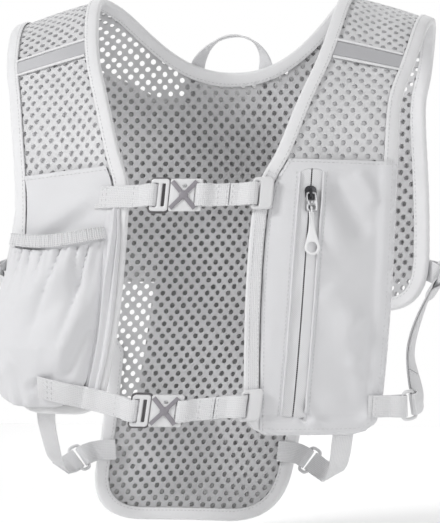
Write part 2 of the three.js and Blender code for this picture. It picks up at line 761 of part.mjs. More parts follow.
// A shape drawn in side view, length and height, given its width.
function sideways(shape, width, bevel = 0) {
  return plate(shape, width, bevel).rotateZ(Math.PI / 2).rotateY(Math.PI / 2);
}
const outlineShape = (points) => new THREE.Shape(points.map((p) => new THREE.Vector2(...p)));
const sliderBody = plate(roundedBox(sliderWidth, sliderLength, 2.6), sliderPlate, 0.4)
  .translate(0, 0, plateLow + sliderPlate / 2 - hingeHeight);
const bridgeHalf = bridgeOpening / 2;
const bridgeOut = bridgeHalf + bridgeWall;
const bridgeTop = bridgeHeight / 2 + bridgeWall;
const bridge = sideways(outlineShape([
  [-bridgeOut, -bridgeHeight / 2 - 0.4], [-bridgeOut, bridgeTop - 0.8], [-bridgeOut + 0.8, bridgeTop],
  [bridgeOut - 0.8, bridgeTop], [bridgeOut, bridgeTop - 0.8], [bridgeOut, -bridgeHeight / 2 - 0.4],
  [bridgeHalf, -bridgeHeight / 2 - 0.4], [bridgeHalf, bridgeHeight / 2], [-bridgeHalf, bridgeHeight / 2],
  [-bridgeHalf, -bridgeHeight / 2 - 0.4],
]), bridgeWidth);
add("zip_slider", atHinge(join(sliderBody, bridge)), darkMetal);

const tabShape = roundedBox(tabWidth, tabLength, 2);
const tabMiddle = tabLength / 2 - tabThickness / 2;
const barInside = tabMiddle - tabThickness / 2;
tabShape.holes.push(hole(0, [
  [-2.4, barInside - 4.6], [2.4, barInside - 4.6], [2.4, barInside], [-2.4, barInside],
]));
const eyeLow = -tabLength / 2 + 1.5;
tabShape.holes.push(hole(0, [[-2.3, eyeLow], [2.3, eyeLow], [2.3, eyeLow + 3], [-2.3, eyeLow + 3]]));
add("zip_pull_tab", atHinge(plate(tabShape, tabThickness, 0.2).translate(0, -tabMiddle, 0)), greyMetal);

const eyeBar = -tabLength + tabThickness / 2 + 0.75; // middle of the bar below the eye
const loopOut = 2.6;
const loopIn = 1.3;
const loopShape = new THREE.Shape().absarc(0, 0, loopOut, 0, 2 * Math.PI, false);
loopShape.holes.push(new THREE.Path().absarc(0, 0, loopIn, 0, 2 * Math.PI, true));
const loop = plate(loopShape, 3.2, 0).rotateY(Math.PI / 2).translate(0, eyeBar, 0);
const gripShape = new THREE.Shape();
const gripRadius = gripWidth / 2;
const neckWidth = 2.5;
gripShape.moveTo(-neckWidth, -loopIn - 0.4);
gripShape.lineTo(-neckWidth, -gripLength * 0.5);
gripShape.quadraticCurveTo(-neckWidth, -gripLength * 0.66, -gripRadius, -gripLength + gripRadius);
gripShape.absarc(0, -gripLength + gripRadius, gripRadius, Math.PI, 2 * Math.PI, false);
gripShape.quadraticCurveTo(neckWidth, -gripLength * 0.66, neckWidth, -gripLength * 0.5);
gripShape.lineTo(neckWidth, -loopIn - 0.4);
const gripHole = new THREE.Path().absarc(0, -gripLength + gripRadius, gripRadius * 0.6, 0, 2 * Math.PI, true);
gripShape.holes.push(gripHole);
const grip = plate(gripShape, 2, 0.4).translate(0, eyeBar, 0);
add("zip_pull_grip", atHinge(join(loop, grip)), whiteRubber);

// Rail of narrow webbing along the inner edge of the zipped pocket, with the clip of each chest strap on it
const railWidth = 7;
const railInset = 4.6;
const railTop = 0.425;
const railLine = (() => {
  const points = [];
  const [from, to] = [frontDown(railTop), frontDown(0.93)];
  for (let i = 0; i <= 14; i++) {
    const path = lerp(from, to, i / 14);
    points.push([innerEdge(leftPanelEdges, path) + railInset, path]);
  }
  return points;
})();
add("strap_rail", trim(railLine, flatBand(railWidth, overTape, overTape + webbingThickness), 1), strapCloth);

// Smooth yoke cloth, bottle pocket with its elastic mouth, and pleated inner pocket on the right chest panel
const bottleTop = 0.55;
const bottleBottom = 0.955;
const mouthBand = 9;
const bottleBulge = 17;
const bottleOverhang = 14; // how far the pocket reaches past the panel's outer edge
const bottleCorner = 26;
const bottlePitch = 13;
const bottleInner = 15; // from the inner edge of the panel to the pocket
const [mouthPath, bottlePathLow] = [frontDown(bottleTop), frontDown(bottleBottom)];
const pocketTop = mouthPath - mouthBand - seamGap - 1;
const sag = (x) => -5 * hump(share(-x, bottleStart(mouthPath), bottleEnd(mouthPath)));
function bottleStart(path) {
  return innerEdge(rightPanelEdges, path) + bottleInner;
}
function bottleEnd(path) {
  const down = share(path, mouthPath, bottlePathLow);
  return outerEdge(rightPanelEdges, path) + bottleOverhang * smooth(1.5 * down);
}
function bottleLift(x, path) {
  const u = share(-x, bottleStart(path), bottleEnd(path));
  const v = share(path, mouthPath + 12, bottlePathLow);
  const filled = Math.min(1, 0.62 + 0.7 * v) * Math.min(1, 3.2 * (1 - v)) ** 0.6;
  return overTape + bottleBulge * hump(u) ** 0.7 * filled;
}
const bottleRows = 9;
const bottleEdges = [];
for (let i = 0; i <= bottleRows; i++) bottleEdges.push(lerp(pocketTop, bottlePathLow, i / bottleRows));
const bottleOutline = closeFront(
  bottleEdges.map((path) => [-bottleStart(path), path]),
  bottleEdges.map((path) => [-bottleEnd(path), path]),
  bottleCorner,
).whole.map(([x, path]) => [x, path > pocketTop - 1 ? path + sag(x) : path]);
add("bottle_pocket", clothOnBody(
  bottleOutline, bottleLift, (x, path) => bottleLift(x, path) + fabricThickness, bottlePitch,
), smoothCloth);
const mouthLine = spaced([[-bottleStart(mouthPath), mouthPath], [-bottleEnd(mouthPath), mouthPath]], 6)
  .map(([x, path]) => [x, path - mouthBand / 2 + sag(x)]);
const mouthSection = flatBand(mouthBand, 0, 1.8);
add("bottle_pocket_elastic", trim(mouthLine, mouthSection, 1, bottleLift, false), tapeCloth);

const yokeOutline = frontPiece(rightPanelEdges, -1, frontDown(0.405), frontDown(0.62), inset).whole;
add("yoke_cloth", clothOnBody(yokeOutline, overMesh, overMesh + fabricThickness), smoothCloth);

const gussetWidth = 12.4;
const gussetInset = 7.4; // from the edge of the panel to the middle of the pleats
const gussetTop = frontDown(0.525);
const gussetLine = [];
for (let i = 0; i <= 10; i++) {
  const path = lerp(gussetTop, frontDown(0.9), i / 10);
  gussetLine.push([-(innerEdge(rightPanelEdges, path) + gussetInset), path]);
}
const pleat = (heights, wall) => {
  const top = heights.map((h, i) => [gussetWidth * (i / (heights.length - 1) - 0.5), h + wall]);
  return [...heights.map((h, i) => [gussetWidth * (i / (heights.length - 1) - 0.5), h]), ...top.reverse()];
};
const pleatHeights = [0, 2.4, 0.8, 2.8, 0];
add("inner_pocket", trim(gussetLine, pleat(pleatHeights, fabricThickness), 1, overTape), smoothCloth);

// Outer pieces of the back: the bladder sleeve, a wing on each side and the pocket across the waist
const sleeveTop = 0.18;
const sleeveBottom = 0.795;
const sleeveHalf = 58;
const sleeveBulge = 13;
const backDown = (value) => back(value * backLength);
function sleeveLift(x, path) {
  const across = hump(share(x, -sleeveHalf, sleeveHalf)) ** 0.6;
  const v = share(path, backDown(sleeveTop) - 25, backDown(sleeveBottom));
  return overMesh + sleeveBulge * across * Math.min(1, 3 * (1 - v)) ** 0.6;
}
const sleeveOutline = onRows([
  ...spaced([[-sleeveHalf, backDown(sleeveTop)], [sleeveHalf, backDown(sleeveTop)]]),
  ...spaced([[sleeveHalf, backDown(sleeveTop)], [sleeveHalf, backDown(sleeveBottom)]]).slice(1),
  ...spaced([[sleeveHalf, backDown(sleeveBottom)], [-sleeveHalf, backDown(sleeveBottom)]]).slice(1),
  ...spaced([[-sleeveHalf, backDown(sleeveBottom)], [-sleeveHalf, backDown(sleeveTop)]]).slice(1, -1),
]);
add("back_sleeve", clothOnBody(
  sleeveOutline, sleeveLift, (x, path) => sleeveLift(x, path) + fabricThickness,
), smoothCloth);

const wingHalf = [
  ...spaced([[sleeveHalf + 1, backDown(0.25)], [shoulderHalfWidth * 0.965 - inset, backDown(0.25)]]),
  ...backLine.filter((p) => p[1] > backDown(0.25) + 8 && p[1] < back(wingDrop) - 24 && p[0] > 120)
    .map(([x, path]) => [x - inset, path]),
  ...spaced([[shoulderHalfWidth * 0.99 - inset - 14, backDown(0.535)], [sleeveHalf + 1, backDown(0.535)]]),
];
const wingOutline = onRows(wingHalf);
add("left_wing", clothOnBody(wingOutline, overMesh, overMesh + fabricThickness), smoothCloth);
add("right_wing", clothOnBody(mirrored(wingOutline), overMesh, overMesh + fabricThickness), smoothCloth);

const waistTop = backDown(sleeveBottom) + 1;
const waistLow = backDown(0.958);
const waistCorner = 32;
const waistPocketHalf = hemHalfWidth - inset - 1.5;
const waistOutline = onRows([
  ...spaced([[-waistPocketHalf, waistTop], [waistPocketHalf, waistTop]]),
  ...spaced([[waistPocketHalf, waistTop + 12], [waistPocketHalf, waistLow - waistCorner]]),
  ...turnCorner([waistPocketHalf, waistTop], [waistPocketHalf, waistLow], [0, waistLow], waistCorner),
  ...turnCorner([0, waistLow], [-waistPocketHalf, waistLow], [-waistPocketHalf, waistTop], waistCorner),
  ...spaced([[-waistPocketHalf, waistLow - waistCorner], [-waistPocketHalf, waistTop + 12]]),
]);
add("waist_pocket", clothOnBody(waistOutline, overMesh, overMesh + fabricThickness), smoothCloth);

// Chest straps. Each is drawn flat, with its buckle's hook meeting the frame at length 0
const bar = 2.4; // width of the bars of the plastic fittings
const fittingBar = bar / 2;
const foldRadius = Math.hypot(fittingBar, plasticThickness / 2) + 0.25 + webbingThickness / 2;
const slotGap = foldRadius - fittingBar + webbingThickness / 2 + 0.8;
const slotHeight = webbingWidth + 1.2;
const fittingHeight = slotHeight + 6;
const frameLength = 13.4;
const hookLength = 23.4;
const strapHeight = overTape + webbingThickness / 2; // of the middle of webbing that crosses the folded tape
const buckleHeight = strapHeight + foldRadius;
const clipLength = 15;

function frameShape() {
  const shape = roundedBox(frameLength, fittingHeight, 2.4);
  const half = frameLength / 2;
  shape.holes.push(slot(-half + bar + slotGap / 2, slotGap, slotHeight));
  shape.holes.push(slot(half - bar - 1.5, 2.6, slotHeight - 0.8));
  return shape;
}
// The hook: a plate with a half-moon cut from its upper and lower edge and a window that runs to a point.
function hookShape() {
  const [x, y] = [hookLength / 2, fittingHeight / 2];
  const moon = 6;
  const shape = new THREE.Shape();
  shape.moveTo(-x, -y);
  shape.lineTo(-moon - 0.5, -y);
  shape.absarc(-0.5, -y, moon, Math.PI, 0, true);
  shape.lineTo(x - 1.5, -y);
  shape.lineTo(x, -y + 1.5);
  shape.lineTo(x, y - 1.5);
  shape.lineTo(x - 1.5, y);
  shape.lineTo(moon - 0.5, y);
  shape.absarc(-0.5, y, moon, 0, Math.PI, true);
  shape.lineTo(-x, y);
  shape.closePath();
  const edge = x - bar;
  const h = slotHeight / 2;
  shape.holes.push(hole(0, [
    [edge, -h], [edge, h], [edge - slotGap, h], [edge - slotGap - 3.2, 0], [edge - slotGap, -h],
  ]));
  return shape;
}
function clipShape() {
  const shape = roundedBox(clipLength, fittingHeight, 2);
  shape.holes.push(slot(-clipLength / 2 + bar + slotGap / 2, slotGap, slotHeight));
  return shape;
}

const bottleTail = (x, path) => {
  const inner = bottleStart(path);
  const rise = smooth((-x - inner + 12) / 10) * (fabricThickness + 1.3);
  return rise + Math.max(0, bottleLift(Math.min(x, -inner), path) - overTape);
};
// Lengths along a strap count from its buckle towards the wearer's left.
const chestStraps = [
  { name: "upper", x: -14, down: 0.476, tail: -56, foldEnd: -52, tailSlope: 0.03, loopSlope: 0.03 },
  { name: "lower", x: -10.2, down: 0.956, tail: -82, foldEnd: -76, tailSlope: -0.24, loopSlope: 0.1 },
];
for (const { name, x, down, tail, foldEnd, tailSlope, loopSlope } of chestStraps) {
  const lift = name === "lower" ? bottleTail : () => 0;
  const path = frontDown(down);
  const frameEnd = -frameLength - 0.2;
  const drift = (s) => tailSlope * Math.min(0, s - frameEnd) + loopSlope * Math.max(0, s - hookLength);
  const set = { x, path, drift, lift };
  const round = { height: buckleHeight, radius: foldRadius, base: strapHeight };
  const clipAt = innerEdge(leftPanelEdges, path + drift(60)) - x - 3.2;
  const leftLine = foldedRound({ ...round, from: tail, bar: frameEnd + fittingBar, backTo: foldEnd });
  add(`${name}_strap_right`, onBody(webbing(leftLine), set), strapCloth);
  const frame = plate(frameShape(), plasticThickness).translate(-frameLength / 2 - 0.2, 0, buckleHeight);
  add(`${name}_buckle_frame`, onBody(frame, set), greyPlastic);
  const hook = plate(hookShape(), plasticThickness).translate(hookLength / 2 + 0.2, 0, buckleHeight);
  add(`${name}_buckle_hook`, onBody(hook, set), greyPlastic);
  const rightLine = loopBetween({
    ...round, left: hookLength + 0.2 - fittingBar, right: clipAt, seam: lerp(hookLength, clipAt, 0.55),
  });
  add(`${name}_strap_left`, onBody(webbing(rightLine), set), strapCloth);
  const clip = plate(clipShape(), plasticThickness, 0)
    .translate(clipAt + clipLength / 2 - fittingBar, 0, buckleHeight);
  add(`${name}_strap_clip`, onBody(clip, set), greyPlastic);
}

// Webbing adjusters at the sides. The upper ones run from the wings to the chest panels, the lower ones from
// the hems of the chest panels to the waist
const ringLength = 13;
const ringRadius = wireDiameter / 2 + 0.9 + webbingThickness / 2;
const lockLength = 19;
function ringShape() {
  const shape = roundedBox(ringLength, fittingHeight, 3);
  shape.holes.push(roundedBox(ringLength - 2 * wireDiameter, slotHeight + 0.6, 1, new THREE.Path()));
  return shape;
}
function lockShape() {
  const shape = roundedBox(lockLength, fittingHeight, 2.4);
  const half = lockLength / 2;
  shape.holes.push(slot(-half + bar + slotGap / 2, slotGap, slotHeight));
  shape.holes.push(slot(half - bar - slotGap / 2, slotGap, slotHeight + 0.4));
  return shape;
}
const sideFold = { height: 1.2, radius: foldRadius, base: 0 };
const ringFold = { height: 0.8, radius: ringRadius, base: 0 };
const underTape = -bindingClearance - bindingWall - 2.8; // behind a panel, clear of its folded tape
const sides = [
  { name: "left", side: 1, down: 0.945, reach: 21, stitched: 9, height: overTape + 2.6, bow: 8, seat: 0.6 },
  { name: "right", side: -1, down: 0.85, reach: 15, stitched: 16, height: underTape - 1.5, bow: 1, seat: 1.8 },
];
for (const { name, side, down, reach, stitched, height, bow, seat } of sides) {
  const table = side > 0 ? leftPanelEdges : rightPanelEdges;
  const wingX = backEdge.at(-1).outer * shoulderHalfWidth;
  const onWing = (x, drop, up) => place(side * x, back(drop), up);
  const onChest = (x, drop, up) => place(side * x, front(drop), up);
  const chestEdge = outerEdge(table, frontDown(down));
  const wingDropAt = wingDrop - 32;
  const chestDrop = down * frontLength;
  const wingEdge = onWing(wingX, wingDropAt, overTape);
  const chestEnd = onChest(chestEdge, chestDrop, 0);
  const upperLine = new THREE.CatmullRomCurve3([
    onWing(wingX - 15, wingDropAt, overTape + seat),
    onWing(wingX - 3, wingDropAt + 2, overTape + seat + 1),
    wingEdge.clone().add(v3(side * (bow * 0.5 + 4), -4, -7)),
    wingEdge.clone().lerp(chestEnd, 0.25).add(v3(side * bow, 0, 2)),
    wingEdge.clone().lerp(chestEnd, 0.65).add(v3(side * (bow + 2), 0, 3)),
    onChest(chestEdge + reach + 5, chestDrop - 5, height - 9),
    onChest(chestEdge + reach, chestDrop - 1, height - 1),
    onChest(chestEdge + 2, chestDrop, height + (side > 0 ? 0.8 : 0)),
    onChest(chestEdge - stitched, chestDrop, height),
  ], false, "centripetal");
  const upperNormals = [
    bodyFrame(side * wingX, back(wingDropAt)).normal,
    v3(side, 0, 0),
    bodyFrame(side * chestEdge, front(chestDrop)).normal,
  ];
  const set = { line: upperLine, normals: upperNormals };
  const long = upperLine.getLength();
  const lockAt = 34;
  const ringAt = long - stitched - reach - 1;
  const half = { lock: lockLength / 2 - fittingBar, ring: ringLength / 2 - wireDiameter / 2 };
  const put = (label, geometry, look) => add(`${name}_${label}`, onLine(geometry, set), look);
  const wingTab = foldedRound({ ...sideFold, from: 0, bar: lockAt - half.lock, backTo: 12 });
  put("wing_tab", webbing(wingTab), strapCloth);
  const lock = plate(lockShape(), plasticThickness, 0);
  put("side_lock", lock.translate(lockAt, 0, sideFold.height), greyPlastic);
  const lockBar = lockAt + half.lock;
  const ringBar = ringAt - half.ring;
  put("side_strap", webbing(loopBetween({
    ...sideFold, left: lockBar, right: ringBar, seam: lerp(lockBar, ringBar, 0.75),
  })), strapCloth);
  const ring = plate(ringShape(), wireDiameter, 0, 1).translate(0, 0, sideFold.height);
  put("side_ring", ring.clone().translate(ringAt, 0, 0), greyMetal);
  const heldAt = { ...ringFold, height: sideFold.height };
  const sideTab = foldedRound({ ...heldAt, from: long, bar: ringAt + half.ring, backTo: long - 3 });
  put("side_tab", webbing(sideTab), strapCloth);

  const hemX = outerEdge(table, frontDown(0.945)) - 20;
  const hemDrop = table.at(-1).down * frontLength;
  const waistDrop = 0.865 * backLength;
  const hemPoint = onChest(hemX, hemDrop, underTape);
  const waistPoint = onWing(hemHalfWidth + 6, waistDrop, underTape);
  const hang = (t, out, down) => hemPoint.clone().lerp(waistPoint, t).add(v3(side * out, 0, -down));
  const lowerLine = new THREE.CatmullRomCurve3([
    onChest(hemX, hemDrop - 14, underTape),
    onChest(hemX, hemDrop + 3, underTape - 0.6),
    hang(0.15, 2, 21),
    hang(0.5, 10, 26),
    hang(0.8, 14, 17),
    onWing(hemHalfWidth + 7, waistDrop + 1, underTape - 1.5),
    onWing(hemHalfWidth - 10, waistDrop, underTape),
  ], false, "centripetal");
  const lowerNormals = [
    bodyFrame(side * hemX, front(hemDrop)).normal,
    v3(side * 0.3, 0, -1),
    bodyFrame(side * hemHalfWidth, back(waistDrop)).normal,
  ];
  const lower = { line: lowerLine, normals: lowerNormals };
  const lowerLong = lowerLine.getLength();
  const lowerRing = lowerLong - 32;
  const lowerBar = lowerRing - half.ring;
  const putLower = (label, geometry, look) => add(`${name}_${label}`, onLine(geometry, lower), look);
  const hemStrap = foldedRound({ ...heldAt, from: 0, bar: lowerBar, backTo: lowerBar - 30, pitch: 14 });
  putLower("hem_strap", webbing(hemStrap), strapCloth);
  putLower("hem_ring", ring.translate(lowerRing, 0, 0), greyMetal);
  const waistTab = foldedRound({
    ...heldAt, from: lowerLong, bar: lowerRing + half.ring, backTo: lowerLong - 3,
  });
  putLower("waist_tab", webbing(waistTab), strapCloth);
}

// Haul loop that stands up from the neck edge of the back
const haulHalfWidth = 28.5;
const haulMiddle = -4.5; // from the middle of the neck edge
const haulLean = 5; // how far its top leans to the wearer's left
const haulRise = 35;
const haulWidth = 9;
const haulFoot = 17;
const haulBase = overTape + 0.9;
const haulSteps = 14;
const haulSections = [[haulMiddle - haulHalfWidth - 1, -haulFoot]];
for (let i = 0; i <= haulSteps; i++) {
  const turn = (Math.PI * i) / haulSteps;
  const rise = Math.sin(turn) ** 0.85;
  haulSections.push([haulMiddle - haulHalfWidth * Math.cos(turn) + haulLean * rise, rise * haulRise]);
}
haulSections.push([haulMiddle + haulHalfWidth + 1, -haulFoot]);
const haulTop = place(0, back(neckDrop + 4), haulBase);
const haulUp = v3(0, -0.2, 0.98);
const haulPoints = haulSections.map(([x, rise]) => (rise < 1
  ? place(x, back(neckDrop + 4 - rise - 3 * (Math.abs(x) / haulHalfWidth)), haulBase)
  : haulTop.clone().setX(x + swayAt(-neckDrop)).addScaledVector(haulUp, rise)));
add("haul_loop", loft(haulPoints.map((p, i) => {
  const before = haulPoints[Math.max(i - 1, 0)];
  const after = haulPoints[Math.min(i + 1, haulPoints.length - 1)];
  const along = after.clone().sub(before).normalize();
  const outward = bodyFrame(0, back(neckDrop)).normal;
  const widthways = outward.clone().cross(along).normalize().multiplyScalar(haulWidth / 2);
  const half = along.clone().cross(widthways).setLength(webbingThickness / 2 + 0.3);
  return [[-1, -1], [1, -1], [1, 1], [-1, 1]].map(([w, h]) => (
    p.clone().addScaledVector(widthways, w).addScaledVector(half, h)
  ));
})), strapCloth);

export default vest;
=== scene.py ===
import bpy
import bmesh
import math
import numpy as np
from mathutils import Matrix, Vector, noise
from mathutils.geometry import delaunay_2d_cdt


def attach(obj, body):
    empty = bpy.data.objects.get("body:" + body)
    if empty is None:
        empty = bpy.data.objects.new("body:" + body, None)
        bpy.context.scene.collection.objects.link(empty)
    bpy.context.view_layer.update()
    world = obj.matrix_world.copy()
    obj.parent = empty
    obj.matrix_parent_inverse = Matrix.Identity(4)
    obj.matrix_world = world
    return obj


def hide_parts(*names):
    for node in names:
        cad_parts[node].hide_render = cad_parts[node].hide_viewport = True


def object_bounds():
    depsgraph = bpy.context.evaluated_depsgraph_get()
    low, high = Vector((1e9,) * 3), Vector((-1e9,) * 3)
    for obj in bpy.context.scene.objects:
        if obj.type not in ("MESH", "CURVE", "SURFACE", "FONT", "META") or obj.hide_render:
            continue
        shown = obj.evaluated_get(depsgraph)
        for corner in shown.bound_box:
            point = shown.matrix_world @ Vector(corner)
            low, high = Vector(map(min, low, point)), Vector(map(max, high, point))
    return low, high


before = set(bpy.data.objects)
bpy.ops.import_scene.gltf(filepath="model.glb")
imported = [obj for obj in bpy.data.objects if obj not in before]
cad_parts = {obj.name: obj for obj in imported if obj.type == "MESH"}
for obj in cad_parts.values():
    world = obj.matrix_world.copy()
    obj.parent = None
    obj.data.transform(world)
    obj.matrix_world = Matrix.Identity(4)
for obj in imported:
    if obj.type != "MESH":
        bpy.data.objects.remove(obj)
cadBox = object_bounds()
scene = bpy.context.scene
mm = 0.001  # sizes below are in millimetres, and meshes in metres

# The body form that the cloth lies on: lengths in millimetres
form = {
    "backLength": 405, "frontLength": 322,
    "chestDepth": 110, "bladeDepth": 84,
    "neckHalf": 95, "shoulderHalf": 160,
    "shoulderFall": 20, "shoulderBlend": 140,
    "wrapHalf": 150, "frontWrap": 34, "backWrap": 58,
    "hemSway": 42,
}
# side view from the crest down: shares of length and depth
frontProfile = [
    (0.012, 0.164), (0.043, 0.336), (0.093, 0.5), (0.17, 0.68), (0.28, 0.845),
    (0.42, 0.945), (0.59, 1), (0.776, 0.99), (1.04, 0.945),
]
backProfile = [
    (0.01, 0.19), (0.032, 0.357), (0.073, 0.5), (0.14, 0.62), (0.245, 0.786), (0.367, 0.93),
    (0.489, 1), (0.611, 0.976), (0.733, 0.893), (0.856, 0.81), (1.02, 0.76),
]
# edges of the chest panels: down, inner and outer, as shares of the lengths above
leftEdges = [
    (0, 1, 1), (0.07, 0.95, 0.97), (0.16, 0.88, 0.935), (0.255, 0.766, 0.89), (0.371, 0.645, 0.89),
    (0.45, 0.53, 0.895), (0.55, 0.5, 0.905), (0.75, 0.53, 0.925), (1.005, 0.63, 0.945),
]
rightEdges = [
    (0, 1, 1), (0.07, 0.95, 0.99), (0.16, 0.88, 0.975), (0.255, 0.76, 0.935), (0.371, 0.62, 0.885),
    (0.45, 0.52, 0.855), (0.55, 0.49, 0.83), (0.75, 0.48, 0.805), (0.965, 0.52, 0.71),
]
backEdge = [(0.11, 0.98), (0.185, 0.958), (0.257, 0.965), (0.38, 0.995), (0.49, 1.02)]
backShape = {
    "neckDrop": 57, "neckRound": 2.2, "wingDrop": 236.1, "wingCorner": 30,
    "underWing": 0.34, "waistDown": 38, "waistCorner": 18, "waistHalf": 82,
    "hipDown": 95, "hipOut": 0.8, "hemHalf": 77, "hemCorner": 44,
}
cloth = {
    "meshThick": 2.3, "fabricThick": 1.1,
    "tapeWidth": 8, "tapeWall": 0.9, "tapeClear": 0.95,
    "seamGap": 0.4, "panelCorner": 20,
}
overMesh = cloth["meshThick"] + 0.5  # height of a piece that lies on a panel
overTape = cloth["meshThick"] + cloth["tapeClear"] + cloth["tapeWall"] + 0.4
inset = cloth["tapeWidth"] + 1.4


def clamp(value, low=0.0, high=1.0):
    return np.minimum(high, np.maximum(low, value))


def smooth(value):
    t = clamp(value)
    return t * t * (3 - 2 * t)


def hump(value):
    return np.sin(np.pi * clamp(value))


def share(value, start, end):
    return clamp((value - start) / (end - start))


def unit(vectors):
    return vectors / np.linalg.norm(vectors, axis=-1, keepdims=True)


def curveThrough(points, power=0.5, steps=60):
    # Catmull-Rom: power 0.5 is centripetal, 0 is uniform
    p = np.array(points, float)
    first, last = (2 * p[0] - p[1], 2 * p[-1] - p[-2]) if power else (p[0], p[-1])
    p = np.vstack([first, p, last])
    t = np.linspace(0, 1, steps, endpoint=False)[:, None]
    spans = []
    for a, b, c, d in zip(p, p[1:], p[2:], p[3:]):
        if power:
            ab, bc, cd = (max(np.linalg.norm(v) ** power, 1e-4) for v in (b - a, c - b, d - c))
            m1 = ((b - a) / ab - (c - a) / (ab + bc) + (c - b) / bc) * bc
            m2 = ((c - b) / bc - (d - b) / (bc + cd) + (d - c) / cd) * bc
        else:
            m1, m2 = (c - a) / 2, (d - b) / 2
        spans.append(
            (2 * t**3 - 3 * t**2 + 1) * b + (t**3 - 2 * t**2 + t) * m1
            + (3 * t**2 - 2 * t**3) * c + (t**3 - t**2) * m2
        )
    return np.vstack([*spans, p[-2]])


def lengths(points):
    return np.concatenate([[0], np.cumsum(np.linalg.norm(np.diff(points, axis=0), axis=1))])


def evenly(points, spacing):
    # points at about that spacing along a line of points
    at = lengths(points)
    count = max(1, round(at[-1] / spacing))
    wanted = np.linspace(0, at[-1], count + 1)
    return np.stack([np.interp(wanted, at, points[:, k]) for k in range(points.shape[1])], 1)


def spaced(points, spacing):
    return evenly(curveThrough(points, 0), spacing)


sideLine = curveThrough(
    [(-out * form["chestDepth"], -down * form["frontLength"]) for down, out in frontProfile[::-1]]
    + [(0, 0)]
    + [(out * form["bladeDepth"], -down * form["backLength"]) for down, out in backProfile],
    steps=200,
)
sidePath = lengths(sideLine)
sidePath -= sidePath[200 * len(frontProfile)]  # measured from the crest, negative in front


def bodyPoint(x, path):
    y = np.interp(path, sidePath, sideLine[:, 0])
    z = np.interp(path, sidePath, sideLine[:, 1])
    away = smooth(np.abs(path) / form["shoulderBlend"])
    wrap = np.where(path < 0, form["frontWrap"], -form["backWrap"]) * away * (x / form["wrapHalf"]) ** 2
    inner, outer = form["neckHalf"] ** 2, form["shoulderHalf"] ** 2
    z = z - form["shoulderFall"] * (x * x - inner) / (outer - inner) * (1 - away)
    sway = -form["hemSway"] * (np.minimum(z, 0) / form["backLength"]) ** 2
    return np.stack([x + sway, y + wrap, z], -1)


def bodyFrame(x, path, step=1.5):
    # a point of the body form, the way across it and the way out of it
    across = (bodyPoint(x + step, path) - bodyPoint(x - step, path)) / (2 * step)
    along = (bodyPoint(x, path + step) - bodyPoint(x, path - step)) / (2 * step)
    return bodyPoint(x, path), across, unit(np.cross(across, along))


def onVest(x, path, proud):
    x, path, proud = np.broadcast_arrays(*(np.asarray(v, float) for v in (x, path, proud)))
    at, _, normal = bodyFrame(x, path)
    return at + normal * proud[..., None]


def pathAtDrop(drop, side):
    half = sidePath < 0 if side < 0 else sidePath > 0
    order = np.argsort(-sideLine[half, 1])
    return float(np.interp(drop, -sideLine[half, 1][order], sidePath[half][order]))


def frontAt(drop):
    return pathAtDrop(drop, -1)


def backAt(drop):
    return pathAtDrop(drop, 1)


def frontDown(value):
    return frontAt(value * form["frontLength"])


def backDown(value):
    return backAt(value * form["backLength"])


def edgeTable(table, column, half):
    line = curveThrough([(frontDown(row[0]), row[column] * half) for row in table], 0)[::-1]
    return lambda path: np.interp(path, line[:, 0], line[:, 1])

def turnCorner(before, corner, after, radius, steps=9):
    before, corner, after = (np.array(p, float) for p in (before, corner, after))
    start = corner + (before - corner) * radius / np.linalg.norm(before - corner)
    end = corner + (after - corner) * radius / np.linalg.norm(after - corner)
    t = np.linspace(0, 1, steps)[:, None]
    return (1 - t) ** 2 * start + 2 * t * (1 - t) * corner + t**2 * end


def closeFront(inner, outer, corner):
    # joins an inner and an outer edge by a hem with round corners
    a, b = inner[-1], outer[-1]
    innerLine, outerLine = inner, outer
    if corner:
        innerLine = np.vstack([inner[inner[:, 1] > a[1] + corner + 3], turnCorner(inner[-2], a, b, corner)])
        outerLine = np.vstack([outer[outer[:, 1] > b[1] + corner + 3], turnCorner(outer[-2], b, a, corner)])
    hem = evenly(np.array([innerLine[-1], outerLine[-1]]), 4)[1:-1]
    return np.vstack([innerLine, hem, outerLine[::-1]])


def frontPiece(edges, side, top, bottom, drawn=0.0, corner=0.0, pitch=4):
    # the part of a chest panel between two paths, drawn in from its edges
    inner, outer = edges
    path = np.linspace(top, bottom, max(2, round((top - bottom) / pitch)) + 1)

    def lean(edge):
        return drawn * np.hypot(1, (edge(path + 6) - edge(path - 6)) / 12)

    return closeFront(
        np.stack([side * (inner(path) + lean(inner)), path], 1),
        np.stack([side * (outer(path) - lean(outer)), path], 1),
        corner,
    )


def closed(edge, pitch=4):
    # closes an edge line into an outline
    return np.vstack([edge, evenly(np.array([edge[-1], edge[0]]), pitch)[1:-1]])


seamEdge = cloth["seamGap"] / 2  # the panels end this far from the crest


def chestPanel(side, table):
    # the inner and outer edge as x at a path, the hem as a share of the length, and the outline
    edges = edgeTable(table, 1, form["neckHalf"]), edgeTable(table, 2, form["shoulderHalf"])
    hem = table[-1][0]
    line = frontPiece(edges, side, -seamEdge, frontDown(hem), 0, cloth["panelCorner"])
    return {"side": side, "edges": edges, "hem": hem, "line": line}


panels = {"left": chestPanel(1, leftEdges), "right": chestPanel(-1, rightEdges)}
leftInner, leftOuter = panels["left"]["edges"]
rightInner, rightOuter = panels["right"]["edges"]
mirror = np.array([-1, 1])


def neckHalfLine():
    turn = np.linspace(0, math.pi / 2, 61)
    drop = backAt(backShape["neckDrop"]) - seamEdge
    x = form["neckHalf"] * np.sin(turn) ** (2 / backShape["neckRound"])
    path = seamEdge + drop * np.cos(turn) ** (2 / (backShape["neckRound"] - 1))
    return evenly(np.stack([x, path], 1), 4)


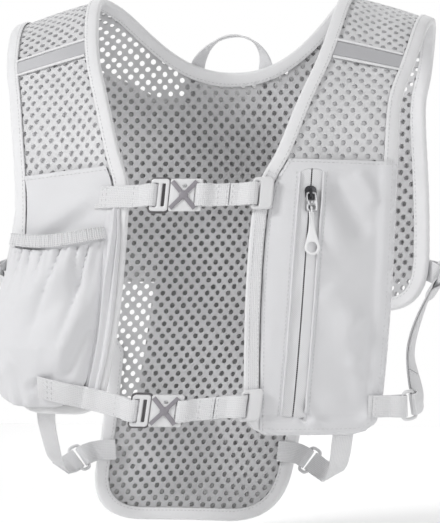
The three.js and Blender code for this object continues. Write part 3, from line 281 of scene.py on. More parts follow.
def backHalfLine():
    s, wide = backShape, form["shoulderHalf"]
    wingX = backEdge[-1][1] * wide
    wing = spaced([(wide, seamEdge)] + [(out * wide, backDown(down)) for down, out in backEdge], 4)
    wingTip = (wingX, backAt(s["wingDrop"]))
    waistTurn = (s["waistHalf"] + s["underWing"] * (wingX - s["waistHalf"]), backAt(s["wingDrop"] + 1))
    waist = (s["waistHalf"], backAt(s["wingDrop"] + s["waistDown"]))
    bottom = backAt(form["backLength"])
    hip = (s["hemHalf"], bottom - s["hemCorner"] - 4)
    side = (s["waistHalf"] + s["hipOut"] * (s["hemHalf"] - s["waistHalf"]), backAt(s["wingDrop"] + s["hipDown"]))
    return np.vstack([
        wing[wing[:, 1] < wingTip[1] - s["wingCorner"] - 3],
        turnCorner(wing[-1], wingTip, waistTurn, s["wingCorner"]),
        turnCorner(wingTip, waistTurn, waist, s["waistCorner"]),
        spaced([waist, side, hip], 4),
        turnCorner(hip, (s["hemHalf"], bottom), (0, bottom), s["hemCorner"], 13)[:-1],
        evenly(np.array([(s["hemHalf"] - s["hemCorner"], bottom), (0, bottom)], float), 4),
    ])


neckLine = neckHalfLine()
backLine = backHalfLine()
neckEdge = np.vstack([neckLine[:0:-1] * mirror, neckLine])
backEdgeLine = np.vstack([backLine, backLine[-2::-1] * mirror])
crest = evenly(np.array([neckLine[-1], backLine[0]]), 4)[1:-1]
backPanelLine = np.vstack([neckEdge, crest, backEdgeLine, crest[::-1] * mirror])
print("form ready")

# Materials


def newMaterial(name, colour, roughness, metallic=0.0, sheen=0.0, coat=0.0):
    material = bpy.data.materials.new(name)
    material.use_nodes = True
    shader = material.node_tree.nodes["Principled BSDF"]
    shader.inputs["Base Color"].default_value = (*colour, 1)
    shader.inputs["Roughness"].default_value = roughness
    shader.inputs["Metallic"].default_value = metallic
    shader.inputs["Sheen Weight"].default_value = sheen
    shader.inputs["Sheen Roughness"].default_value = 0.5
    shader.inputs["Coat Weight"].default_value = coat
    shader.inputs["Coat Roughness"].default_value = 0.35
    return material


class Graph:
    # short calls for wiring a node tree
    def __init__(self, tree):
        self.tree, self.nodes, self.links = tree, tree.nodes, tree.links

    def add(self, kind, inputs=None, **settings):
        node = self.nodes.new(kind)
        for key, value in settings.items():
            setattr(node, key, value)
        for key, value in (inputs or {}).items():
            if isinstance(value, bpy.types.NodeSocket):
                self.links.new(value, node.inputs[key])
            else:
                node.inputs[key].default_value = value
        return node

    def take(self, kind, inputs=None, **settings):
        return self.add(kind, inputs, **settings).outputs[0]

    def math(self, operation, *values, clampIt=False):
        return self.take("ShaderNodeMath", dict(enumerate(values)), operation=operation, use_clamp=clampIt)

    def vector(self, operation, first, second):
        key = "Scale" if operation == "SCALE" else 1
        return self.take("ShaderNodeVectorMath", {0: first, key: second}, operation=operation)

    def finishGroup(self, **results):
        out = self.add("NodeGroupOutput")
        for key, value in results.items():
            self.links.new(value, out.inputs[key])
        return self.tree


def newGroup(name, inputs, outputs):
    tree = bpy.data.node_groups.new(name, "ShaderNodeTree")
    for key, value in inputs.items():
        kind = "NodeSocketVector" if value is None else "NodeSocketFloat"
        socket = tree.interface.new_socket(name=key, in_out="INPUT", socket_type=kind)
        if value is not None:
            socket.default_value = value
    for key in outputs:
        tree.interface.new_socket(name=key, in_out="OUTPUT", socket_type="NodeSocketFloat")
    return tree


def weaveGroup():
    # threads over and under, in a pattern that follows the cloth: height and a darker mask between threads
    g = Graph(newGroup("weave", {"Pattern": None, "Thread": 0.8, "Rib": 0.0}, ["Height", "Gap"]))
    source = g.add("NodeGroupInput").outputs
    split = g.add("ShaderNodeSeparateXYZ", {0: source["Pattern"]}).outputs
    turns = [
        g.math("SINE", g.math("DIVIDE", g.math("MULTIPLY", axis, 2 * math.pi), source["Thread"]))
        for axis in (split[0], split[1])
    ]
    height = g.math("ADD", g.math("MULTIPLY", *turns), g.math("MULTIPLY", turns[0], source["Rib"]))
    gap = g.math("MULTIPLY", g.math("SUBTRACT", 0.4, height), 0.5, clampIt=True)
    return g.finishGroup(Height=height, Gap=gap)


def mottleGroup():
    # slow changes of shade: random tone, such as cloth has from handling; on the nets the large, deep mottle is painted
    # shade for light that falls unevenly
    g = Graph(newGroup("mottle", {"Position": None, "Size": 18.0, "Depth": 0.06}, ["Shade", "Fine"]))
    source = g.add("NodeGroupInput").outputs
    scale = g.math("DIVIDE", 1000.0, source["Size"])
    slow, fine = (
        g.take("ShaderNodeTexNoise", {"Vector": source["Position"], "Scale": size, "Detail": detail})
        for size, detail in ((scale, 3.0), (1400.0, 2.0))
    )
    shade = g.math("ADD", 1.0, g.math("MULTIPLY", g.math("SUBTRACT", slow, 0.5), source["Depth"]))
    return g.finishGroup(Shade=shade, Fine=fine)


weaveTree = weaveGroup()
mottleTree = mottleGroup()


def mottled(g, size, depth):
    place = g.add("ShaderNodeTexCoord").outputs["Object"]
    return g.add("ShaderNodeGroup", {"Position": place, "Size": size, "Depth": depth}, node_tree=mottleTree).outputs


def dress(g, colour, shade, height, strength, distance):
    # shades the colour and raises the surface; the distance is in metres
    shader = g.nodes["Principled BSDF"]
    g.links.new(g.vector("SCALE", colour, shade), shader.inputs["Base Color"])
    bump = g.take("ShaderNodeBump", {"Height": height, "Strength": strength, "Distance": distance})
    g.links.new(bump, shader.inputs["Normal"])


def clothMaterial(name, look):
    # look: the thread and the mottle's size are in millimetres; rib, bump and mottle are strengths
    material = newMaterial(name, look["colour"], look["roughness"], sheen=look.get("sheen", 0.0))
    g = Graph(material.node_tree)
    pattern = g.add("ShaderNodeAttribute", attribute_name="pattern").outputs["Vector"]
    weave = g.add("ShaderNodeGroup", {"Pattern": pattern, "Thread": look["thread"], "Rib": look.get("rib", 0.0)},
                  node_tree=weaveTree).outputs
    mottle = mottled(g, look.get("mottleSize", 22.0), look["mottle"])
    woven = g.add("ShaderNodeMix", {0: weave["Gap"], 6: (*look["colour"], 1), 7: (*look["gapColour"], 1)},
                  data_type="RGBA").outputs[2]
    # the inner face takes a lighter colour: painted light on the face seen through the net's holes, which the net
    # shades
    if "innerPaintedLight" in look:
        level = g.add("ShaderNodeSeparateXYZ", {0: pattern}).outputs[2]
        outerFace = g.math("GREATER_THAN", level, 0.1)
        woven = g.add("ShaderNodeMix", {0: outerFace, 6: (*look["innerPaintedLight"], 1), 7: woven},
                      data_type="RGBA").outputs[2]
    height = g.math("ADD", weave["Height"], g.math("MULTIPLY", mottle["Fine"], 0.6))
    dress(g, woven, mottle["Shade"], height, look["bump"], 0.0002)
    return material


def hardMaterial(name, look):
    # moulded or cast: fine grain in the bump, and slow changes of shade and roughness
    metallic, coat = look.get("metallic", 0.0), look.get("coat", 0.0)
    material = newMaterial(name, look["colour"], look["roughness"], metallic, coat=coat)
    g = Graph(material.node_tree)
    mottle = mottled(g, 6.0, look.get("mottle", 0.25))
    dress(g, look["colour"], mottle["Shade"], mottle["Fine"], 0.15, 0.0001)
    rough = g.math("MULTIPLY", mottle["Shade"], look["roughness"])
    g.links.new(rough, g.nodes["Principled BSDF"].inputs["Roughness"])
    return material


looks = {
    # on the nets, the large mottle is painted shade for light that falls unevenly
    "meshYarn": {"colour": (0.79, 0.79, 0.8), "gapColour": (0.58, 0.58, 0.59), "roughness": 0.85, "sheen": 0.15,
                 "thread": 1.1, "bump": 0.7, "mottle": 0.3, "mottleSize": 50.0},
    # the back net: the same yarn painted darker, as painted shade for the inside of the vest, with a larger mottle of
    # painted shade
    "paintedShadeYarn": {"colour": (0.62, 0.62, 0.63), "gapColour": (0.5, 0.5, 0.51), "roughness": 0.85, "sheen": 0.15,
                   "thread": 1.1, "bump": 0.7, "mottle": 0.6, "mottleSize": 70.0},
    # the lining's inner face is painted lighter: painted light on the face seen through the net's holes
    "liningCloth": {"colour": (0.75, 0.75, 0.76), "gapColour": (0.69, 0.69, 0.7), "innerPaintedLight": (0.93, 0.93, 0.93),
                    "roughness": 0.8, "sheen": 0.1, "thread": 0.7, "bump": 0.2, "mottle": 0.1},
    "smoothCloth": {"colour": (0.73, 0.73, 0.745), "gapColour": (0.66, 0.66, 0.68), "roughness": 0.7, "sheen": 0.1,
                    "thread": 0.7, "bump": 0.22, "mottle": 0.05},
    "foldedTape": {"colour": (0.82, 0.82, 0.83), "gapColour": (0.74, 0.74, 0.75), "roughness": 0.75, "sheen": 0.1,
                   "thread": 0.8, "bump": 0.3, "mottle": 0.04},
    "reflectiveCloth": {"colour": (0.5, 0.5, 0.515), "gapColour": (0.38, 0.38, 0.4), "roughness": 0.4,
                        "thread": 1.1, "bump": 0.25, "mottle": 0.1},
    "ribbedTape": {"colour": (0.78, 0.78, 0.79), "gapColour": (0.66, 0.66, 0.68), "roughness": 0.75, "sheen": 0.1,
                   "thread": 1.5, "bump": 0.5, "mottle": 0.04},
    "ribbedWebbing": {"colour": (0.8, 0.8, 0.81), "gapColour": (0.66, 0.66, 0.68), "roughness": 0.75, "sheen": 0.1,
                      "thread": 1.3, "rib": 0.7, "bump": 0.6, "mottle": 0.05},
    "elasticBand": {"colour": (0.8, 0.8, 0.81), "gapColour": (0.62, 0.62, 0.64), "roughness": 0.8, "sheen": 0.1,
                    "thread": 1.4, "rib": 1.2, "bump": 0.8, "mottle": 0.05},
}
finish = {name: clothMaterial(name, look) for name, look in looks.items()}
finish["seamThread"] = newMaterial("seamThread", (0.62, 0.62, 0.63), 0.7)
hardLooks = {
    "greyPlastic": {"colour": (0.27, 0.255, 0.28), "roughness": 0.38, "coat": 0.15},
    # a plastic painted dark for the shadow line round the buckle frames
    "paintedShadowPlastic": {"colour": (0.11, 0.105, 0.11), "roughness": 0.4, "coat": 0.15},
    "palePlastic": {"colour": (0.72, 0.72, 0.73), "roughness": 0.35, "coat": 0.2, "mottle": 0.05},
    "darkMetal": {"colour": (0.06, 0.06, 0.065), "roughness": 0.32, "metallic": 0.7, "mottle": 0.2},
    "greyMetal": {"colour": (0.42, 0.42, 0.43), "roughness": 0.3, "metallic": 0.85, "mottle": 0.2},
    "paleRubber": {"colour": (0.84, 0.84, 0.85), "roughness": 0.5, "mottle": 0.04},
    "zipNylon": {"colour": (0.36, 0.36, 0.375), "roughness": 0.45, "mottle": 0.1},
}
finish.update({name: hardMaterial(name, look) for name, look in hardLooks.items()})
print("materials ready")

# Pieces


def addObject(name, data):
    made = bpy.data.objects.new(name, data)
    scene.collection.objects.link(made)
    return made


def newPiece(name, points, faces, look, pattern=None, sharp=50):
    mesh = bpy.data.meshes.new(name)
    mesh.from_pydata((np.asarray(points) * mm).tolist(), [], faces)
    if pattern is not None:
        layer = mesh.attributes.new("pattern", "FLOAT_VECTOR", "POINT")
        layer.data.foreach_set("vector", np.asarray(pattern, np.float32).ravel())
    mesh.materials.append(finish[look])
    mesh.validate()
    mesh.shade_smooth()
    mesh.set_sharp_from_angle(angle=math.radians(sharp))
    return addObject(name, mesh)


def fit(piece, *nodes, slot, body="vest"):
    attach(piece, body)
    if nodes:
        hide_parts(*nodes)
    return piece


def shoelace(loop):
    x, y = np.asarray(loop, float).T
    return 0.5 * float(np.sum(x * np.roll(y, -1) - y * np.roll(x, -1)))


def inside(points, loop):
    # which of the flat points lie in a loop
    x, y = points[:, 0], points[:, 1]
    found = np.zeros(len(points), bool)
    for (ax, ay), (bx, by) in zip(loop, np.roll(loop, -1, axis=0)):
        if ay != by:
            found ^= ((ay > y) != (by > y)) & (x < ax + (bx - ax) * (y - ay) / (by - ay))
    return found


def nearest(points, line):
    # distance from each flat point to a line of points
    return np.min(np.linalg.norm(points[:, None] - np.asarray(line)[None], axis=2), axis=1)


def triangulate(loops, pitch=None):
    # fills an outline, less its holes, with triangles; a pitch adds points on a grid inside
    loops = [np.asarray(loop, float) for loop in loops]
    flat, edges = [], []
    for loop in loops:
        edges += [(len(flat) + i, len(flat) + (i + 1) % len(loop)) for i in range(len(loop))]
        flat += [Vector(p) for p in loop]
    if pitch:
        low, high = loops[0].min(0), loops[0].max(0)
        grid = np.array([
            (x + (row % 2) * pitch / 2, y)
            for row, y in enumerate(np.arange(low[1] + pitch / 2, high[1], pitch * 0.87))
            for x in np.arange(low[0] + pitch / 2, high[0], pitch)
        ])
        flat += [Vector(p) for p in grid[nearest(grid, np.vstack(loops)) > pitch * 0.5]]
    points, _, faces, *_ = delaunay_2d_cdt(flat, edges, [], 1, 1e-5)
    points = np.array([tuple(p) for p in points])
    faces = [list(f) for f in faces]
    for hole in loops[1:]:
        gone = inside(np.array([points[f].mean(0) for f in faces]), hole)
        faces = [f for f, out in zip(faces, gone) if not out]
    return points, faces


def layWall(name, flat, faces, low, thick, look, rim=0.6, sharp=50):
    # lays a flat mesh on the body as a closed wall, its underside at the heights low and its rim thinner
    uses = {}
    for face in faces:
        for a, b in zip(face, face[1:] + face[:1]):
            if uses.pop((b, a), None) is None:
                uses[(a, b)] = True
    (x, path), count = flat.T, len(flat)
    thin = np.ones(count)
    thin[sorted({a for pair in uses for a in pair})] = rim
    points = np.vstack([onVest(x, path, low + thick * (1 - thin) / 2), onVest(x, path, low + thick * (1 + thin) / 2)])
    walls = faces + [[i + count for i in f[::-1]] for f in faces] + [[b, a, a + count, b + count] for a, b in uses]
    pattern = np.column_stack([np.tile(flat, (2, 1)), np.repeat([0, thick], count)])
    return outward(newPiece(name, points, walls, look, pattern, sharp))


def layCloth(name, node, outline, height, look="smoothCloth", pitch=4.0, holes=()):
    # a sheet of cloth on the body, its underside at height(x, path)
    flat, faces = triangulate([outline, *holes], pitch)
    piece = layWall(name, flat, faces, height(*flat.T), cloth["fabricThick"], look)
    return fit(piece, node, slot="smooth_cloth")


def outward(piece):
    # turns the faces so that they point out of the closed piece
    made = bmesh.new()
    made.from_mesh(piece.data)
    bmesh.ops.recalc_face_normals(made, faces=made.faces)
    if made.calc_volume(signed=True) < 0:
        bmesh.ops.reverse_faces(made, faces=made.faces)
    made.to_mesh(piece.data)
    made.free()
    return piece


def tubeFaces(rows, count, closedRow=False):
    # the faces between rows of rings, with caps unless the row is closed
    faces = []
    for j in range(rows if closedRow else rows - 1):
        a, b = j * count, (j + 1) % rows * count
        faces += [[a + i, a + (i + 1) % count, b + (i + 1) % count, b + i] for i in range(count)]
    if not closedRow:
        faces += [list(range(count))[::-1], [(rows - 1) * count + i for i in range(count)]]
    return faces


def sweep(name, rings, look, pattern=None, closedRow=False, sharp=50):
    rings = np.asarray(rings, float)
    faces = tubeFaces(*rings.shape[:2], closedRow)
    return outward(newPiece(name, rings.reshape(-1, 3), faces, look, pattern, sharp))


def alongLine(line, section, side=1.0, lift=0.0, flatEnds=False):
    # carries a section of (sideways, up) along a line of (x, path) on the body
    line = np.asarray(line, float)
    step = unit(np.diff(line, axis=0))
    a, b = np.vstack([step[:1], step]), np.vstack([step, step[-1:]])
    along = unit(a + b)
    mitre = 1 / np.maximum(0.7, np.sum(along * b, axis=1))
    mitre[[0, -1]] = 1
    sideways = np.stack([-along[:, 1], along[:, 0]], 1) * (side * mitre)[:, None]
    if flatEnds:
        for k in (0, -1):
            sideways[k] = (math.copysign(1, sideways[k][0]), 0)
    up = lift(line[:, 0], line[:, 1]) if callable(lift) else np.full(len(line), float(lift))
    section = np.asarray(section, float)
    s, u = section[..., 0], section[..., 1]
    x = line[:, :1] + s * sideways[:, :1]
    path = line[:, 1:] + s * sideways[:, 1:]
    rings = onVest(x, path, u + up[:, None])
    run = lengths(line)
    pattern = np.stack([np.broadcast_to(v, rings.shape[:2]) for v in (s, run[:, None], u)], -1).reshape(-1, 3)
    return rings, pattern


def layBand(name, line, section, look, *nodes, slot, lift=0.0):
    rings, pattern = alongLine(line, section, lift=lift)
    return fit(sweep(name, rings, look, pattern), *nodes, slot=slot)


def roundedBox(width, height, radius, steps=4):
    # a rounded rectangle, anticlockwise
    r = min(radius, 0.499 * width, 0.499 * height)
    x, y = width / 2 - r, height / 2 - r
    turns = np.radians(np.linspace(0, 90, steps + 1))
    corners = [(x, -y, -90), (x, y, 0), (-x, y, 90), (-x, -y, 180)]
    return np.array([
        (a + r * math.cos(math.radians(start) + t), b + r * math.sin(math.radians(start) + t))
        for a, b, start in corners for t in turns
    ])


def roundBand(width, bottom, top, radius=0.45):
    # a flat band's section with rounded selvedges, and points near the ends of its long faces
    loop = roundedBox(width, top - bottom, radius, 3)
    rows = [np.vstack([a, a + 0.08 * (b - a), b - 0.08 * (b - a)]) if np.linalg.norm(b - a) > 2 else a[None]
            for a, b in zip(loop, np.roll(loop, -1, axis=0))]
    return np.vstack(rows) + (0, (top + bottom) / 2)


# Perforated cloth: the holes are set out on the flat panel by geometry nodes, and the panel is then laid on the body
perforation = {
    "across": 8.8, "along": 10.0,  # the lattice, with every other row shifted by half
    "holeWide": 4.3, "holeSides": 8, "edgeMargin": 2.4,
    "wobble": 0.35, "seed": 3,
}


def newTree(name, floats, wholes):
    tree = bpy.data.node_groups.new(name, "GeometryNodeTree")
    kinds = [("Geometry", "Geometry"), *((key, "Float") for key in floats), *((key, "Int") for key in wholes),
             ("Material", "Material")]
    for key, kind in kinds:
        tree.interface.new_socket(name=key, in_out="INPUT", socket_type="NodeSocket" + kind)
    tree.interface.new_socket(name="Geometry", in_out="OUTPUT", socket_type="NodeSocketGeometry")
    return tree


def scatter(g, **inputs):
    return g.take("GeometryNodeRealizeInstances", {0: g.take("GeometryNodeInstanceOnPoints", inputs)})


def painted(g, geometry, material):
    # gives the geometry its material and ends the tree
    made = g.take("GeometryNodeSetMaterial", {"Geometry": geometry, "Material": material})
    return g.finishGroup(Geometry=made)


def runTree(source, tree, name, values):
    # sets the tree's inputs by identifier, and takes its result as a plain mesh
    modifier = source.modifiers.new(name, "NODES")
    modifier.node_group = tree
    known = {s.name: s.identifier for s in tree.interface.items_tree if s.in_out == "INPUT"}
    for key, value in values.items():
        modifier[known[key]] = value
    bpy.context.view_layer.update()
    made = bpy.data.meshes.new_from_object(source.evaluated_get(bpy.context.evaluated_depsgraph_get()))
    source.modifiers.remove(modifier)
    made.name = name
    return made


def netTree():
    g = Graph(newTree(
        "perforatedNet", ["Across", "Along", "Hole Width", "Edge Margin", "Wobble"], ["Hole Sides", "Seed"]))
    source = g.add("NodeGroupInput").outputs
    outline = g.take("GeometryNodeMeshToCurve", {"Mesh": source["Geometry"]})
    face = g.take("GeometryNodeFillCurve", {"Curve": outline})
    box = g.add("GeometryNodeBoundBox", {0: source["Geometry"]}).outputs
    size = g.add("ShaderNodeSeparateXYZ", {0: g.vector("SUBTRACT", box["Max"], box["Min"])}).outputs
    middle = g.vector("SCALE", g.vector("ADD", box["Max"], box["Min"]), 0.5)
    rowGap = g.math("MULTIPLY", source["Along"], 0.5)
    columns, rows = (g.math("ADD", g.math("CEIL", g.math("DIVIDE", wide, gap)), 2.0)
                     for wide, gap in ((size[0], source["Across"]), (size[1], rowGap)))
    grid = g.take("GeometryNodeMeshGrid", {
        "Size X": g.math("MULTIPLY", g.math("SUBTRACT", columns, 1.0), source["Across"]),
        "Size Y": g.math("MULTIPLY", g.math("SUBTRACT", rows, 1.0), rowGap),
        "Vertices X": columns, "Vertices Y": rows,
    })
    odd = g.math("MODULO", g.math("MODULO", g.take("GeometryNodeInputIndex"), rows), 2.0)
    shift = g.math("MULTIPLY", g.math("SUBTRACT", odd, 0.5), g.math("MULTIPLY", source["Across"], 0.5))

    def spread(low, high):
        return g.take("FunctionNodeRandomValue", {"Seed": source["Seed"], 0: low, 1: high}, data_type="FLOAT_VECTOR")

    wobble = g.vector("SCALE", spread((-1, -1, 0), (1, 1, 0)), source["Wobble"])
    offset = g.vector("ADD", g.take("ShaderNodeCombineXYZ", {0: shift}), wobble)
    points = g.take("GeometryNodeSetPosition", {"Geometry": grid, "Offset": g.vector("ADD", offset, middle)})
    # a hole stays where its point is over the panel and clear of the edge
    above = g.vector("ADD", g.take("GeometryNodeInputPosition"), (0, 0, 5))
    over = g.add("GeometryNodeRaycast", {
        "Target Geometry": face, "Source Position": above, "Ray Direction": (0, 0, -1), "Ray Length": 10.0,
    }).outputs["Is Hit"]
    near = g.add("GeometryNodeProximity", {0: source["Geometry"]}, target_element="EDGES").outputs["Distance"]
    radius = g.math("MULTIPLY", source["Hole Width"], 0.5)
    clear = g.take("FunctionNodeCompare", {0: near, 1: g.math("ADD", source["Edge Margin"], radius)},
                   operation="GREATER_THAN")
    kept = g.take("FunctionNodeBooleanMath", {0: over, 1: clear}, operation="AND")
    lost = g.take("FunctionNodeBooleanMath", {0: kept}, operation="NOT")
    centres = g.take("GeometryNodeDeleteGeometry", {0: points, 1: lost}, domain="POINT")
    ring = g.take("GeometryNodeCurvePrimitiveCircle", {"Resolution": source["Hole Sides"], "Radius": radius})
    holes = scatter(g, Points=centres, Instance=ring, Scale=spread((0.86, 0.94, 1), (1.0, 1.08, 1)))
    both = g.add("GeometryNodeJoinGeometry")
    g.links.new(outline, both.inputs[0])
    g.links.new(holes, both.inputs[0])
    return painted(g, g.take("GeometryNodeFillCurve", {"Curve": both.outputs[0]}), source["Material"])


netNodes = netTree()


def lineObject(rows, closedRows=False):
    # an object of edges alone, from rows of points
    points, edges = [], []
    for row in rows:
        start, count = len(points), len(row)
        edges += [(start + i, start + (i + 1) % count) for i in range(count if closedRows else count - 1)]
        points += np.column_stack([row, np.zeros((count, 3 - np.shape(row)[1]))]).tolist()
    mesh = bpy.data.meshes.new("rows")
    mesh.from_pydata(points, edges, [])
    return addObject("rows", mesh)


sag = {"depth": 1.6, "seam": 6, "reach": 30}
backing = {"below": 0.45, "thick": 0.35, "seam": 4, "drawn": 2.5, "top": -8, "past": 3}


def netWave(x, path):
    # how far the net sags inwards between its seams
    return sag["depth"] * (1 + np.sin(x / 21 + path / 47 + 0.6) * np.cos(path / 34 - x / 60))


def netPanel(name, outline, node, look="meshYarn"):
    flatObject = lineObject([outline], True)
    p = perforation
    mesh = runTree(flatObject, netNodes, name, {
        "Across": p["across"], "Along": p["along"], "Hole Width": p["holeWide"], "Hole Sides": p["holeSides"],
        "Edge Margin": p["edgeMargin"], "Wobble": p["wobble"], "Seed": p["seed"], "Material": finish[look],
    })
    bpy.data.objects.remove(flatObject)
    flat = np.array([v.co[:2] for v in mesh.vertices], float)
    faces = [list(f.vertices) for f in mesh.polygons]
    wave = netWave(*flat.T) * smooth((nearest(flat, outline) - sag["seam"]) / sag["reach"])
    panel = layWall(name, flat, faces, -wave, cloth["meshThick"], look, rim=1.0, sharp=40)
    print(name, len(panel.data.polygons), "faces")
    return fit(panel, node, slot="spacer_mesh")


def lining(name, outline):
    # thin cloth behind the net, held by the same tape
    flat, faces = triangulate([outline], 5)
    wave = netWave(*flat.T) * smooth((nearest(flat, outline) - backing["seam"]) / sag["reach"])
    piece = layWall(name, flat, faces, -backing["below"] - wave, backing["thick"], "liningCloth")
    fit(piece, slot="smooth_cloth")


for label, panel in panels.items():
    node = label + "_front_panel"
    netPanel(label + "Net", closed(panel["line"]), node)
    low = frontDown(panel["hem"]) + backing["past"]
    lining(label + "Lining", closed(frontPiece(
        panel["edges"], panel["side"], backing["top"], low, backing["drawn"], cloth["panelCorner"])))
# the back net takes the yarn painted darker, as painted shade for the inside of the vest
netPanel("backNet", backPanelLine, "back_panel", "paintedShadeYarn")
print("perforated panels ready")

# Tape folded over the edges: a rounded nose outside, with a slight pucker between the stitches
tape = {"pucker": 0.16, "puckerPitch": 8.5, "noseSteps": 6, "rowPitch": 2.8, "seam": 6.0}


def foldedTape():
    t, c, wide = cloth["meshThick"], cloth["tapeClear"], cloth["tapeWidth"]
    o = c + cloth["tapeWall"]
    radius = t / 2 + o
    nose = [(-o + 0.6 * radius * (1 - math.cos(a)), t / 2 + radius * math.sin(a))
            for a in np.linspace(-math.pi / 2, math.pi / 2, tape["noseSteps"] + 1)]
    bottom = [(wide, -c), (wide, -o + 0.3), (wide - 0.4, -o), (wide * 0.45, -o - 0.1)]
    top = [(wide * 0.45, t + o + 0.12), (wide * 0.75, t + o + 0.05), (wide - 0.4, t + o), (wide, t + o - 0.3)]
    inside = [(wide, t + c), (-c, t + c), (-c, -c)]
    return bottom + nose + top + inside


def puckered(line, section):
    run = lengths(line)
    wave = tape["pucker"] * np.sin(2 * np.pi * run / tape["puckerPitch"] + 0.6 * np.sin(run / 31))
    section = np.repeat(np.asarray(section, float)[None], len(line), 0)
    fromMiddle = section[..., 1] - cloth["meshThick"] / 2
    outer = np.abs(fromMiddle) > cloth["meshThick"] / 2 + cloth["tapeClear"] + 0.01
    section[..., 1] += np.where(outer, np.sign(fromMiddle), 0) * wave[:, None]
    return section


def layTape(name, line, side, node):
    line = evenly(np.asarray(line), tape["rowPitch"])
    rings, pattern = alongLine(line, puckered(line, foldedTape()), side, 0.0, flatEnds=True)
    return fit(sweep(name, rings, "foldedTape", pattern, sharp=60), node, slot="binding_tape")


tapeLines = [
    ("leftFrontTape", panels["left"]["line"], 1, "left_front_binding"),
    ("rightFrontTape", panels["right"]["line"], -1, "right_front_binding"),
    ("neckTape", neckEdge, 1, "neck_binding"), ("backTape", backEdgeLine, 1, "back_binding"),
]
for row in tapeLines:
    layTape(*row)
print("tape ready")

# Reflective strips on the shoulders, each between two lines of piping
strip = {
    "width": 13, "pipeWidth": 2.4, "inset": -2.2, "thick": 0.8, "pipeThick": 1.6, "pitch": 3, "apart": 0.6,
    "left": (0.138, 0.157), "right": (0.127, 0.156),  # down, at the inner and the outer end
}
for name, panel in panels.items():
    side, (inner, outer) = panel["side"], panel["edges"]
    start, end = (frontDown(value) for value in strip[name])
    line = evenly(np.array([
        (side * (inner(start) + inset + strip["inset"]), start), (side * (outer(end) - inset - strip["inset"]), end),
    ]), strip["pitch"])
    band = roundBand(strip["width"], overMesh, overMesh + strip["thick"], 0.35)
    layBand(name + "ReflectiveStrip", line, band, "reflectiveCloth", name + "_reflective_strip",
            slot="reflective_tape")
    away = strip["width"] / 2 + strip["pipeWidth"] / 2 + strip["apart"]
    cord = roundBand(strip["pipeWidth"], overMesh, overMesh + strip["pipeThick"], 0.79)
    for label, by in (("Upper", away), ("Lower", -away)):
        layBand(name + label + "Piping", line + np.array([0, by]), cord, "foldedTape",
                f"{name}_{label.lower()}_piping", slot="binding_tape")

# Stitches: each row of thread is set out in the piece's own flat measures, and then laid on it
thread = {"pitch": 3.1, "length": 2.2, "width": 0.6, "sides": 6, "above": 1.15}


def stitchTree():
    g = Graph(newTree("stitchRow", ["Pitch", "Length", "Width", "Wobble"], ["Sides", "Seed"]))
    source = g.add("NodeGroupInput").outputs
    line = g.take("GeometryNodeMeshToCurve", {"Mesh": source["Geometry"]})
    row = g.take("GeometryNodeResampleCurve", {"Curve": line, "Length": source["Pitch"]}, mode="LENGTH")
    drop = g.take("GeometryNodeMeshUVSphere", {"Segments": source["Sides"], "Rings": 4, "Radius": 0.5})
    turn = g.take("FunctionNodeAlignRotationToVector", {"Vector": g.take("GeometryNodeInputTangent")}, axis="Z")
    low, high = (g.math(way, 1.0, source["Wobble"]) for way in ("SUBTRACT", "ADD"))
    spread = g.add("FunctionNodeRandomValue", {2: low, 3: high, "Seed": source["Seed"]}, data_type="FLOAT").outputs[1]
    long = g.math("MULTIPLY", source["Length"], spread)
    size = g.take("ShaderNodeCombineXYZ", {0: source["Width"], 1: source["Width"], 2: long})
    return painted(g, scatter(g, Points=row, Instance=drop, Rotation=turn, Scale=size), source["Material"])


stitchNodes = stitchTree()


def takeFlat(flat, tree, name, values, place):
    # runs the tree on the flat object and lays what it makes by place
    mesh = runTree(flat, tree, name, values)
    bpy.data.objects.remove(flat)
    points = np.array([v.co for v in mesh.vertices], float)
    mesh.vertices.foreach_set("co", (place(points) * mm).ravel())
    mesh.shade_smooth()
    return outward(addObject(name, mesh))


def vestPlace(points):
    return onVest(points[..., 0], points[..., 1], points[..., 2])


def stitch(name, rows, slot, place=vestPlace, seed=1):
    piece = takeFlat(lineObject(rows), stitchNodes, name, {
        "Pitch": thread["pitch"], "Length": thread["length"], "Width": thread["width"], "Sides": thread["sides"],
        "Wobble": 0.12, "Seed": seed, "Material": finish["seamThread"],
    }, place)
    return fit(piece, slot=slot)


def beside(line, by):
    # a line moved sideways in the flat, to its left where by is positive
    line = np.asarray(line, float)
    step = unit(np.gradient(line, axis=0))
    return line + np.stack([-step[:, 1], step[:, 0]], 1) * by


def raised(line, height):
    # adds heights above the body to a flat line; height is a number or a function of x and path
    line = np.asarray(line, float)
    up = height(*line.T) if callable(height) else np.full(len(line), float(height))
    return np.column_stack([line, up])


def stitchCloth(name, rows, face, seed, slot="smooth_cloth", above=thread["above"]):
    stitch(name, [raised(row, lambda x, path: face(x, path) + above) for row in rows], slot, seed=seed)


tapeFace = cloth["meshThick"] + cloth["tapeClear"] + cloth["tapeWall"] + 0.05
tapeRows = []
for _, line, side, _ in tapeLines:
    seam = beside(evenly(line, tape["rowPitch"]), side * tape["seam"])
    tapeRows += [raised(seam, tapeFace), raised(seam, cloth["meshThick"] - tapeFace)]
stitch("tapeStitches", tapeRows, "binding_tape")
print("stitches on the tape ready")

# Pockets


def creased(creases):
    # each crease has a start and end as (x, path), a width and a height in millimetres, negative for a valley
    def height(x, path):
        total = np.zeros(np.broadcast(x, path).shape)
        for start, end, width, rise in creases:
            a, b = np.array(start, float), np.array(end, float)
            along = b - a
            u = clamp(((x - a[0]) * along[0] + (path - a[1]) * along[1]) / (along @ along))
            away = np.hypot(x - a[0] - u * along[0], path - a[1] - u * along[1])
            fade = smooth(4 * u + 0.15) * smooth(4 * (1 - u) + 0.15)
            total = total + rise * fade * np.exp(-((away / width) ** 2))
        return total
    return height


